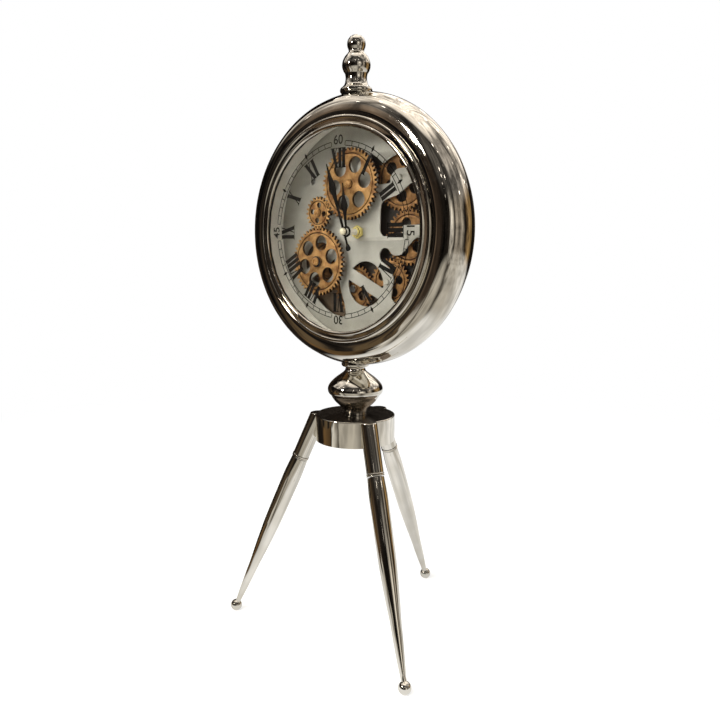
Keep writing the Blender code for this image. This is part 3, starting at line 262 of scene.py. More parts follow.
@dataclass(frozen=True)
class BlackNickel(Finish):
    """Black nickel plate on spun and cast metal, machine buffed.

    It gives the eye a deep mirror whose reflections waver a little where the wheel pressed.
    """

    face: str = "#E8E3D8"
    deep: str = "#D9D3C6"
    rough: Point = (0.025, 0.08)
    wave_mm: float = 26.0
    wave_depth: float = 0.10
    haze_mm: float = 4.0
    # Roughness of level faces, which are turned flat and not buffed; nothing where it is zero
    faced: float = 0.0
    # Base colour of level faces: painted shade, darker to stand for the dark reflection that a level top
    # shows
    level_top_shade: str = "#787169"

    def make(self) -> Look:
        """Build the material."""
        made, tree, spot = self.begin()
        wave = add(tree, "TexNoise", {"Scale": 1 / (self.wave_mm * MM), "Detail": 1.5}, {"Vector": spot})
        colour = add(tree, "ValToRGB", {"stops": ((0.35, self.deep), (0.65, self.face))}, {"Fac": wave})
        haze = add(tree, "TexNoise", {"Scale": 1 / (self.haze_mm * MM), "Detail": 4.0}, {"Vector": spot})
        sheen = add(tree, "MapRange", {"span": (0.35, 0.75, *self.rough)}, {"Value": haze})
        if self.faced:
            level = add(tree, "MapRange", {"span": (0.94, 0.99)}, {"Value": facing(tree, "Z")})
            sheen = add(tree, "Mix", {"data_type": "FLOAT", 3: self.faced}, {0: level, 2: sheen})
            # Level faces take the darker tone: painted dark reflection on the head's top
            colour = add(tree, "Mix", {"data_type": "RGBA", 7: linear(self.level_top_shade)},
                         {0: level, 6: colour}).outputs[2]
        return self.end(made, {"Metallic": 1.0}, {"Base Color": colour, "Roughness": sheen},
                        (wave, 1.0, self.wave_depth))


@dataclass(frozen=True)
class MetalLacquer(Finish):
    """Metallic lacquer sprayed on stamped steel.

    It gives the eye a soft sheen over a fine flake, a little deeper where the coat is thin.
    """

    face: str = "#ABA9A1"
    thin: str = "#9C9A92"
    metallic: float = 0.25
    rough: Point = (0.34, 0.46)
    patch_mm: float = 18.0
    # Real flake is near 0.05 mm, drawn ten times coarser so that it shows
    flake_mm: float = 0.6
    flake_depth: float = 0.012
    # Tone of side walls and cut edges: painted shade for the dark tooth gaps and the groove
    edge: str = ""

    def make(self) -> Look:
        """Build the material."""
        made, tree, spot = self.begin()
        patch = add(tree, "TexNoise", {"Scale": 1 / (self.patch_mm * MM), "Detail": 5.0, "Roughness": 0.6},
                    {"Vector": spot})
        colour = add(tree, "ValToRGB", {"stops": ((0.30, self.thin), (0.62, self.face))}, {"Fac": patch})
        flake = add(tree, "TexNoise", {"Scale": 1 / (self.flake_mm * MM), "Detail": 2.0}, {"Vector": spot})
        dull = add(tree, "MapRange", {"span": (0.3, 0.7, *self.rough)}, {"Value": flake})
        # Faces that look sideways take the edge tone: painted shade for the tooth gaps and the groove
        if self.edge:
            flat = add(tree, "Math", {"operation": "ABSOLUTE"}, {0: facing(tree, "Y")})
            share = add(tree, "MapRange", {"span": (0.35, 0.9)}, {"Value": flat})
            colour = add(tree, "Mix", {"data_type": "RGBA", 6: linear(self.edge)},
                         {0: share, 7: colour}).outputs[2]
        return self.end(made, {"Metallic": self.metallic}, {"Base Color": colour, "Roughness": dull},
                        (flake, 0.6, self.flake_depth))


@dataclass(frozen=True)
class TurnedMetal(Finish):
    """Bar stock turned on a lathe, bare or plated.

    It gives the eye a bright metal with fine rings from the tool.
    """

    face: str = "#D9B267"
    deep: str = "#B98F4C"
    rough: Point = (0.16, 0.30)
    # Real tool rings are near 0.1 mm apart, drawn four times wider
    ring_mm: float = 0.4
    ring_depth: float = 0.01
    tone_mm: float = 6.0

    def make(self) -> Look:
        """Build the material."""
        made, tree, spot = self.begin()
        rings = add(tree, "TexNoise", {"Scale": 1 / (self.ring_mm * MM), "Detail": 2.0}, {"Vector": spot})
        tone = add(tree, "TexNoise", {"Scale": 1 / (self.tone_mm * MM), "Detail": 3.0}, {"Vector": spot})
        film = add(tree, "ValToRGB", {"stops": ((0.35, self.deep), (0.65, self.face))}, {"Fac": tone})
        dull = add(tree, "MapRange", {"span": (0.3, 0.7, *self.rough)}, {"Value": tone})
        return self.end(made, {"Metallic": 1.0}, {"Base Color": film, "Roughness": dull},
                        (rings, 0.5, self.ring_depth))


@dataclass(frozen=True)
class Coating(Finish):
    """A coat, moulding or ink without metal in it: enamel, ABS, rubber or screen ink.

    It gives the eye its own grain: orange peel in enamel, spark grain in ABS, bloom on rubber.
    """

    face: str = "#101012"
    worn: str = "#1B1A1A"
    rough: Point = (0.28, 0.40)
    grain_mm: float = 0.9
    grain_depth: float = 0.02
    ior: float = 1.5
    gloss: float = 0.5
    # How many grains wide the drift of tone and gloss is
    broad_share: float = 14.0
    # Lighter tone towards the dial's lower left; none where it is empty
    thin: str = ""
    lean: tuple[float, float, float] = (-0.5, 0.0, -0.86)
    lighter_from_mm: float = 28.0
    lighter_run_mm: float = 36.0
    lighter_drift_mm: float = 20.0

    def make(self) -> Look:
        """Build the material."""
        made, tree, spot = self.begin()
        grain = add(tree, "TexNoise", {"Scale": 1 / (self.grain_mm * MM), "Detail": 3.0}, {"Vector": spot})
        wide = self.grain_mm * self.broad_share
        broad = add(tree, "TexNoise", {"Scale": 1 / (wide * MM), "Detail": 3.0}, {"Vector": spot})
        colour = add(tree, "ValToRGB", {"stops": ((0.42, self.face), (0.72, self.worn))}, {"Fac": broad})
        dull = add(tree, "MapRange", {"span": (0.3, 0.7, *self.rough)}, {"Value": broad})
        if self.thin:
            leaning = add(tree, "VectorMath", {"operation": "DOT_PRODUCT", 1: self.lean}, {0: spot})
            uneven = add(tree, "Math", {"operation": "MULTIPLY_ADD", 1: self.lighter_drift_mm * MM},
                         {0: broad, 2: leaning.outputs["Value"]})
            start = (self.lighter_from_mm + self.lean[2] * AXIS_Z) * MM
            run = add(tree, "MapRange", {"span": (start, start + self.lighter_run_mm * MM)}, {"Value": uneven})
            colour = add(tree, "Mix", {"data_type": "RGBA", 7: linear(self.thin)},
                         {0: run, 6: colour}).outputs[2]
        return self.end(made, {"IOR": self.ior, "Specular IOR Level": self.gloss},
                        {"Base Color": colour, "Roughness": dull}, (grain, 0.5, self.grain_depth))


@dataclass(frozen=True)
class FloatGlass(Finish):
    """Flat float glass, 1.6 mm.

    It gives the eye a clear sheet with a thin reflection; lamps pass it.
    """

    tint: str = "#F8F9F8"
    ior: float = 1.5
    smear_mm: float = 35.0
    rough: Point = (0.0, 0.03)

    def make(self) -> Look:
        """Build the material."""
        made, tree, spot = self.begin()
        smear = add(tree, "TexNoise", {"Scale": 1 / (self.smear_mm * MM), "Detail": 3.0}, {"Vector": spot})
        haze = add(tree, "MapRange", {"span": (0.45, 0.8, *self.rough)}, {"Value": smear})
        tint = linear(self.tint)
        self.end(made, {"Base Color": tint, "IOR": self.ior, "Transmission Weight": 1.0}, {"Roughness": haze})
        lit = add(tree, "LightPath").outputs["Is Shadow Ray"]
        clear = add(tree, "BsdfTransparent", {"Color": tint})
        both = add(tree, "MixShader", {}, {0: lit, 1: tree.nodes["Principled BSDF"], 2: clear})
        feed(tree, tree.nodes["Material Output"], {}, {"Surface": both})
        return made


@dataclass(frozen=True)
class CellJacket(Finish):
    """Foil jacket of a round cell.

    It gives the eye a plain grey body with a copper-coloured band at its plus end.
    """

    body: str = "#5B6168"
    band: str = "#B07A4A"
    band_from: float = 9.0
    blur: float = 0.2
    grain_mm: float = 1.5
    rough: Point = (0.2, 0.35)

    def make(self) -> Look:
        """Build the material."""
        made, tree, spot = self.begin()
        along = add(tree, "SeparateXYZ", {}, {"Vector": spot}).outputs["X"]
        reach = add(tree, "MapRange", {"span": ((self.band_from - self.blur) * MM, self.band_from * MM)},
                    {"Value": along})
        foil = add(tree, "ValToRGB", {"stops": ((0.0, self.body), (1.0, self.band))}, {"Fac": reach})
        grain = add(tree, "TexNoise", {"Scale": 1 / (self.grain_mm * MM), "Detail": 3.0}, {"Vector": spot})
        dull = add(tree, "MapRange", {"span": (0.0, 1.0, *self.rough)}, {"Value": grain})
        return self.end(made, {"Metallic": 0.6}, {"Base Color": foil, "Roughness": dull})


class Palette:
    """The clock's finishes, made once."""

    def __init__(self) -> None:
        """Make every finish."""
        self.nickel = BlackNickel("buffed_black_nickel").make()
        self.satin_nickel = BlackNickel(
            "spun_black_nickel_back", "#C6C1B8", "#BBB5AB", (0.16, 0.22), wave_depth=0.02).make()
        self.cast_nickel = BlackNickel("cast_black_nickel", faced=0.26).make()
        self.plate = MetalLacquer("silver_lacquered_plate").make()
        self.liner = MetalLacquer("pale_lacquered_liner", "#EFECE3", "#E0DCD0", 0.05).make()
        # The wheels' edge tone is painted shade on the tooth flanks and in the groove
        self.gear = MetalLacquer(
            "gold_lacquered_wheel", "#C2965F", "#75492B", 0.50, (0.30, 0.46), 7.0, edge="#3E2A1A").make()
        # A darker copy of the wheel lacquer for the wheels behind the plate: painted shade
        self.rear_gear = MetalLacquer(
            "gold_lacquered_rear_wheel", "#A57A4B", "#5E3F27", 0.50, (0.30, 0.46), 7.0, edge="#33231A").make()
        self.brass = MetalLacquer(
            "lacquered_turned_brass", "#C8985E", "#855A34", 0.45, (0.24, 0.36), 3.0).make()
        self.pale_brass = MetalLacquer("lacquered_brass_nut", "#F8E691", "#E2CB72", 0.35, (0.22, 0.32)).make()
        self.cream = MetalLacquer("lacquered_cap_nut", "#F1E9D0", "#DDD2B2", 0.30, (0.20, 0.30)).make()
        self.zinc = TurnedMetal("zinc_plated_steel", "#B9BABA", "#9A9C9E", (0.24, 0.38)).make()
        # Near-white base with little metal: painted reflection, standing for the bright bands along the tube
        self.tube = MetalLacquer("satin_nickel_tube", "#FBF7EC", "#E9E2D2", 0.12, (0.22, 0.32)).make()
        # The bridge's thin tone is a lighter tone towards the dial's lower left
        self.blackened = Coating(
            "blackened_steel_bridge", "#1C1A19", "#2A2725", (0.45, 0.6), 0.8, thin="#6A5A49").make()
        self.enamel = Coating("matt_black_hand", "#060606", "#0E0D0D", (0.42, 0.55), gloss=0.12).make()
        self.ink = Coating(
            "black_screen_ink", "#0A0A0A", "#141312", (0.6, 0.7), 0.5, 0.004, gloss=0.15).make()
        self.rubber = Coating(
            "nitrile_rubber_seal", "#121212", "#1D1C1B", (0.6, 0.75), 1.2, 0.03, ior=1.52).make()
        self.plastic = Coating("moulded_abs_box", "#151517", "#1E1E20", (0.42, 0.5), 0.5, ior=1.54).make()
        self.glass = FloatGlass("float_glass").make()
        self.cell = CellJacket("foil_cell_jacket").make()


def through(points: Sequence[Point], steps: int = 6) -> Outline:
    """Draw a smooth line through points.

    Args:
        points: The points in order.
        steps: Pieces between two points.

    Returns:
        The line's points, with both ends kept.
    """
    known = [Vector(point) for point in points]
    padded = [known[0] * 2 - known[1], *known, known[-1] * 2 - known[-2]]
    line = [tuple(known[0])]
    for one, two, three, four in zip(padded, padded[1:], padded[2:], padded[3:]):
        first = (two - one).length ** 0.5
        second = first + (three - two).length ** 0.5
        third = second + (four - three).length ** 0.5
        for step in range(1, steps + 1):
            t = first + (second - first) * step / steps
            near = one.lerp(two, t / first)
            middle = two.lerp(three, (t - first) / (second - first))
            far = three.lerp(four, (t - second) / (third - second))
            low = near.lerp(middle, t / second)
            high = middle.lerp(far, (t - first) / (third - first))
            line.append(tuple(low.lerp(high, (t - first) / (second - first))))
    return line


def chain(*runs: Sequence[Point], steps: int = 6) -> Outline:
    """Join smooth runs end to end, with a crease where two meet.

    Args:
        runs: The points of each run.
        steps: Pieces between two points.

    Returns:
        The line's points.
    """
    line: Outline = []
    for run in runs:
        line += through(run, steps)[1 if line else 0:]
    return line


def circle(radius: float, count: int, centre: Point = (0.0, 0.0), first: float = 0.0) -> Outline:
    """Points round a circle, its first point at an angle in degrees."""
    turns = [math.radians(first + 360.0 * index / count) for index in range(count)]
    return [(centre[0] + radius * math.cos(turn), centre[1] + radius * math.sin(turn)) for turn in turns]


def rounded(corners: Sequence[Point], share: float = 0.34, steps: int = 5) -> Outline:
    """Round each corner of a closed outline.

    Args:
        corners: The outline's corners in order.
        share: How much of the shorter side beside a corner the round takes.
        steps: Pieces in each round.

    Returns:
        The rounded outline.
    """
    points: Outline = []
    for index, corner in enumerate(corners):
        here = Vector(corner)
        before, after = Vector(corners[index - 1]) - here, Vector(corners[(index + 1) % len(corners)]) - here
        reach = share * min(before.length, after.length)
        start, end = here + before.normalized() * reach, here + after.normalized() * reach
        for step in range(steps + 1):
            t = step / steps
            points.append(tuple(start * (1 - t) ** 2 + here * 2 * t * (1 - t) + end * t ** 2))
    return points


def lathe(profile: Sequence[Point], steps: int = 128, axis: Axis = Axis.DIAL) -> Shape:
    """Spin a closed profile of radius and place along the axis.

    Args:
        profile: The profile's points.
        steps: Faces round the axis.
        axis: The axis it is spun about.

    Returns:
        The turned shape.
    """
    shape = bmesh.new()
    points = []
    for radius, along in profile:
        place = [radius, 0.0, 0.0]
        place[axis.value] = along
        points.append(shape.verts.new(place))
    edges = []
    for index, point in enumerate(points):
        following = points[(index + 1) % len(points)]
        if point.co.x > 1e-5 or following.co.x > 1e-5:
            edges.append(shape.edges.new((point, following)))
    turn = Vector((0.0, 1.0, 0.0)) if axis is Axis.DIAL else Vector((0.0, 0.0, 1.0))
    bmesh.ops.spin(shape, geom=points + edges, cent=(0, 0, 0), axis=turn, angle=math.tau, steps=steps,
                   use_merge=True)
    bmesh.ops.remove_doubles(shape, verts=shape.verts, dist=WELD)
    bmesh.ops.dissolve_degenerate(shape, dist=WELD, edges=shape.edges)
    bmesh.ops.recalc_face_normals(shape, faces=shape.faces)
    return shape


def drawn(curve: bpy.types.Curve) -> Shape:
    """Turn a curve or a text into a shape.

    Args:
        curve: The curve or text.

    Returns:
        The shape that it draws.
    """
    holder = bpy.data.objects.new(curve.name, curve)
    bpy.context.scene.collection.objects.link(holder)
    mesh = bpy.data.meshes.new_from_object(holder.evaluated_get(bpy.context.evaluated_depsgraph_get()))
    bpy.data.objects.remove(holder, do_unlink=True)
    shape = bmesh.new()
    shape.from_mesh(mesh)
    bpy.data.meshes.remove(mesh)
    return shape


def sheet(loops: Sequence[Outline], front: float, thick: float, edge: float = 0.12) -> Shape:
    """Cut a sheet along closed outlines, holes left open, its edges broken.

    Args:
        loops: Outlines in x and z.
        front: The y of its front face.
        thick: Its thickness.
        edge: How far its edges are broken.

    Returns:
        The cut sheet.
    """
    curve = bpy.data.curves.new("outline", "CURVE")
    curve.dimensions = "2D"
    curve.fill_mode = "BOTH"
    curve.extrude = thick / 2 - edge
    curve.bevel_depth = edge
    curve.bevel_resolution = 1
    curve.offset = -edge
    for loop in loops:
        spline = curve.splines.new("POLY")
        spline.points.add(len(loop) - 1)
        for index, (across, up) in enumerate(loop):
            spline.points[index].co = (across, up, 0.0, 1.0)
        spline.use_cyclic_u = True
    shape = drawn(curve)
    shape.transform(Matrix.Translation((0.0, front + thick / 2, 0.0)) @ STANDING)
    bmesh.ops.remove_doubles(shape, verts=shape.verts, dist=WELD)
    return shape


def block(middle: Sequence[float], sizes: Sequence[float]) -> Shape:
    """A block with its middle and its three sizes."""
    shape = bmesh.new()
    bmesh.ops.create_cube(shape, size=1.0, matrix=Matrix.Translation(middle) @ Matrix.Diagonal((*sizes, 1.0)))
    return shape


def on_dial(centre: Point) -> Matrix:
    """Where a piece stands that is turned about a point of the dial."""
    return DIAL @ Matrix.Translation((centre[0], 0.0, centre[1]))


def plank(shape: Shape, corners: Sequence[Point], front: float, thick: float) -> None:
    """Add one flat closed piece.

    Args:
        shape: The shape it is added to.
        corners: Its corners in x and z.
        front: The y of its front face.
        thick: Its thickness.
    """
    face = shape.faces.new([shape.verts.new((across, front, up)) for across, up in corners])
    raised = bmesh.ops.extrude_face_region(shape, geom=[face])
    moved = [item for item in raised["geom"] if isinstance(item, bmesh.types.BMVert)]
    bmesh.ops.translate(shape, verts=moved, vec=(0.0, thick, 0.0))


def arc(shape: Shape, radii: Point, degrees: Point, front: float, thick: float) -> None:
    """Add a flat arc.

    Args:
        shape: The shape it is added to.
        radii: Its inner and outer radius.
        degrees: Where it starts and ends, clockwise from twelve.
        front: The y of its front face.
        thick: Its thickness.
    """
    start, end = math.radians(degrees[0]), math.radians(degrees[1])
    steps = max(2, int((degrees[1] - degrees[0]) / 2.0))
    turns = [start + (end - start) * index / steps for index in range(steps + 1)]
    outer = [(radii[1] * math.sin(turn), radii[1] * math.cos(turn)) for turn in turns]
    inner = [(radii[0] * math.sin(turn), radii[0] * math.cos(turn)) for turn in turns]
    plank(shape, outer + inner[::-1], front, thick)


def solid(shape: Shape, look: Look | None = None, name: str = "tool") -> bpy.types.Object:
    """Turn a shape into a linked object.

    Args:
        shape: The shape, which is used up.
        look: Its material, if it has one.
        name: The name of the object and its mesh.

    Returns:
        The object.
    """
    mesh = bpy.data.meshes.new(name)
    shape.to_mesh(mesh)
    shape.free()
    made = bpy.data.objects.new(name, mesh)
    bpy.context.scene.collection.objects.link(made)
    if look:
        mesh.materials.append(look)
    return made


def combined(body: Shape, tools: Sequence[Shape], operation: str) -> Shape:
    """Join or cut a closed shape with closed tools, one after another.

    Args:
        body: The shape, which is used up.
        tools: The tools, which are used up.
        operation: UNION or DIFFERENCE.

    Returns:
        The joined or cut shape.
    """
    whole = solid(body)
    for tool in tools:
        cutter = solid(tool)
        change = whole.modifiers.new(operation, "BOOLEAN")
        change.operation = operation
        change.solver = "EXACT"
        change.object = cutter
        mesh = bpy.data.meshes.new_from_object(whole.evaluated_get(bpy.context.evaluated_depsgraph_get()))
        whole.modifiers.clear()
        whole.data = mesh
        bpy.data.objects.remove(cutter, do_unlink=True)
    shape = bmesh.new()
    shape.from_mesh(whole.data)
    bpy.data.objects.remove(whole, do_unlink=True)
    return shape


def formed(
    name: str, shapes: Sequence[Shape], look: Look, place: Matrix = DIAL, sharp: float = 32.0
) -> bpy.types.Object:
    """Form one finished piece in metres with its origin at zero.

    Args:
        name: The piece's name.
        shapes: Closed shapes that make it, in millimetres.
        look: Its material.
        place: Where the shapes' zero stands.
        sharp: Edges sharper than this many degrees stay crisp.

    Returns:
        The piece.
    """
    whole = bmesh.new()
    for shape in shapes:
        bmesh.ops.recalc_face_normals(shape, faces=shape.faces)
        mesh = bpy.data.meshes.new("part")
        shape.to_mesh(mesh)
        shape.free()
        whole.from_mesh(mesh)
        bpy.data.meshes.remove(mesh)
    whole.transform(Matrix.Diagonal((MM, MM, MM, 1.0)) @ place)
    made = solid(whole, look, name)
    made.data.shade_smooth()
    made.data.set_sharp_from_angle(angle=math.radians(sharp))
    return made


def settle(piece: bpy.types.Object, body: Body, slot: Slot, *nodes: str) -> bpy.types.Object:
    """Give a piece its body, hide the CAD nodes it stands for, and report it.

    Args:
        piece: The piece.
        body: The body that it rides on.
        slot: Its material slot; not used.
        nodes: The nodes that it replaces.

    Returns:
        The piece.
    """
    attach(piece, body.value)
    if nodes:
        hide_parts(*nodes)
    LOG.info("%s: %d faces on %s", piece.name, len(piece.data.polygons), body.value)
    return piece


def fit(
    name: str, shapes: Sequence[Shape], look: Look, slot: Slot, *nodes: str,
    body: Body = Body.STAND, place: Matrix = DIAL, sharp: float = 32.0,
) -> bpy.types.Object:
    """Form a piece and settle it, as formed() and settle() say."""
    return settle(formed(name, shapes, look, place, sharp), body, slot, *nodes)


def barrel(depth: float) -> float:
    """Outer radius of the case's rounded barrel at a depth."""
    return CASE_R - 3.7 * ((depth + 2.0) / 12.55) ** 2


def saddle(shape: Shape, height: float, side: int) -> None:
    """Bring a stand or finial piece's end to the barrel, with a gap.

    Args:
        shape: A shape turned about the upright axis.
        height: The case axis's height above the shape's zero.
        side: 1 where the piece stands under the case, -1 where it stands on it.
    """
    for vert in shape.verts:
        reach = math.sqrt(max(1.0, (barrel(vert.co.y) + GAP) ** 2 - vert.co.x ** 2))
        limit = height - side * reach
        if (vert.co.z - limit) * side > 0:
            vert.co.z = limit


@dataclass
class Stand:
    """Cast head, three turned legs with ball feet, and the neck's foot."""

    nickel: Look
    cast_nickel: Look
    top: float = 200.0
    head_r: float = 35.6
    head_t: float = 23.0
    edge: float = 1.2
    foot: Point = (116.7, 5.1)
    leg_top_r: float = 33.0
    ball_r: float = 5.4
    ring_drop: float = 41.9
    socket_r: float = 7.5
    # A hair under the drum, so that no two faces share a place
    socket_drop: float = 0.02
    bolt_r: float = 3.3
    recess: Point = (6.6, 8.0)
    leg_line: tuple[Point, ...] = (
        (2.45, 8.2), (2.7, 11.5), (3.4, 21.7), (4.15, 34.7), (4.75, 48.9), (5.95, 65.2), (6.9, 81.5),
        (7.45, 92.4), (7.8, 108.7), (8.0, 128.3), (8.1, 146.8), (7.6, 159.0), (7.25, 164.6),
    )
    bead: tuple[Point, ...] = (
        (8.0, -1.3), (8.25, -1.0), (8.3, -0.75), (8.2, -0.4), (7.75, -0.22), (7.75, 0.22), (8.2, 0.4),
        (8.3, 0.75), (8.25, 1.0), (8.0, 1.3),
    )
    names: tuple[str, ...] = ("right", "back", "left")

    def matrix(self, index: int) -> Matrix:
        """Turn a piece built upright from a foot's centre onto that leg's line."""
        lean = math.atan2(self.foot[0] - self.leg_top_r, self.top - self.foot[1])
        spin = Matrix.Rotation(math.radians(-30.0 + 120.0 * index), 4, "Z")
        foot = Matrix.Translation((self.foot[0], 0.0, self.foot[1]))
        return POST @ spin @ foot @ Matrix.Rotation(-lean, 4, "Y")

    def length(self) -> float:
        """Length of a leg's axis from the ball to the top of the head."""
        return math.hypot(self.foot[0] - self.leg_top_r, self.top - self.foot[1])

    def ring(self) -> float:
        """Run from the ball to the ring joint."""
        return self.length() * (1 - self.ring_drop / (self.top - self.foot[1]))

    def build_legs(self) -> None:
        """Turn the three legs and their ring joints."""
        turns = [math.pi * index / 20 for index in range(1, 18)]
        ball = [(self.ball_r * math.sin(turn), -self.ball_r * math.cos(turn)) for turn in turns]
        tip = [(0.0, -self.ball_r), *ball]
        line = through([(2.45, 4.85), *self.leg_line], 6)
        run = self.ring()
        for index, side in enumerate(self.names):
            leg = lathe(tip + line + [(5.0, 164.9), (0.0, 164.9)], 56, Axis.UPRIGHT)
            bmesh.ops.transform(leg, matrix=self.matrix(index), verts=leg.verts)
            for vert in leg.verts:
                vert.co.z = max(vert.co.z, 0.0)
            fit(f"turned_leg_{side}", [leg], self.nickel, Slot.GUNMETAL, f"leg_{side}", place=Matrix())
            bead = [(radius - 0.4, run + along) for radius, along in self.bead]
            ring = lathe([(5.3, run - 1.3), *bead, (5.3, run + 1.3)], 56, Axis.UPRIGHT)
            bmesh.ops.transform(ring, matrix=self.matrix(index), verts=ring.verts)
            fit(f"ring_joint_{side}", [ring], self.nickel, Slot.GUNMETAL, f"leg_collar_{side}",
                place=Matrix(), sharp=50.0)

    def round_rim(self, shape: Shape) -> None:
        """Round the edges between a level top and its walls.

        Args:
            shape: A closed shape whose top is level.
        """
        shape.normal_update()
        rim = []
        for edge in shape.edges:
            levels = sorted(face.normal.z for face in edge.link_faces)
            if len(levels) == 2 and levels[1] > 0.99 and levels[0] < 0.9:
                rim.append(edge)
        bmesh.ops.bevel(shape, geom=rim, offset=self.edge, offset_type="WIDTH", segments=4, profile=0.5,
                        material=-1, affect="EDGES", clamp_overlap=False)

    def socket(self, index: int) -> Shape:
        """Turn the socket of one leg and cut its top level.

        Args:
            index: Which leg.

        Returns:
            The socket, its top edge rounded.
        """
        start, end = self.ring() + 1.6, self.length() + 8.0
        profile = [(0.0, start), (self.socket_r, start), (self.socket_r, end), (0.0, end)]
        shape = lathe(profile, 64, Axis.UPRIGHT)
        bmesh.ops.transform(shape, matrix=self.matrix(index), verts=shape.verts)
        level = self.top - self.socket_drop
        cut = bmesh.ops.bisect_plane(shape, geom=[*shape.verts, *shape.edges, *shape.faces], dist=WELD,
                                     plane_co=(0.0, 0.0, level), plane_no=(0.0, 0.0, 1.0), clear_outer=True)
        bmesh.ops.edgeloop_fill(shape, edges=[item for item in cut["geom_cut"]
                                              if isinstance(item, bmesh.types.BMEdge)])
        bmesh.ops.recalc_face_normals(shape, faces=shape.faces)
        self.round_rim(shape)
        return shape

    def build_head(self) -> None:
        """Set the three sockets into the drum, all cut level and with rounded edges."""
        low = self.top - self.head_t
        inner, deep = self.recess
        drum = lathe([(self.bolt_r, low + deep), (inner, low + deep), (inner, low), (self.head_r, low),
                      (self.head_r, self.top), (self.bolt_r, self.top)], 120, Axis.UPRIGHT)
        bmesh.ops.transform(drum, matrix=POST, verts=drum.verts)
        self.round_rim(drum)
        sockets = [self.socket(index) for index in range(3)]
        made = formed("cast_head", [drum, *sockets], self.cast_nickel, Matrix(), 30.0)
        flat = made.modifiers.new("Flat", "WEIGHTED_NORMAL")
        flat.weight = 100
        flat.keep_sharp = True
        settle(made, Body.STAND, Slot.GUNMETAL, "tripod_head")

    def build_neck(self) -> None:
        """Turn the neck: flange, waist, bulb with its crease, and foot."""
        line = chain(
            [(12.3, 51.5), (12.35, 47.5), (12.3, 44.5), (11.6, 43.5), (10.2, 43.2)],
            [(10.2, 43.2), (8.9, 42.6), (8.75, 41.4), (9.6, 39.3), (12.6, 36.6), (17.2, 33.2), (21.6, 29.1),
             (23.9, 25.9), (24.7, 22.8), (24.0, 19.6), (21.6, 17.0)],
            [(21.6, 17.0), (20.1, 14.2), (17.3, 10.75), (13.9, 7.6), (11.2, 5.2), (10.1, 3.4), (9.9, 1.8),
             (9.9, 0.0)],
            steps=5,
        )
        shape = lathe([(self.bolt_r, 51.5), *line, (self.bolt_r, 0.0)], 96, Axis.UPRIGHT)
        saddle(shape, AXIS_Z - self.top - GAP, 1)
        place = POST @ Matrix.Translation((0.0, 0.0, self.top + GAP))
        fit("turned_neck", [shape], self.nickel, Slot.GUNMETAL, "neck", place=place, sharp=28.0)

    def build(self) -> None:
        """Build the whole stand."""
        self.build_legs()
        self.build_head()
        self.build_neck()


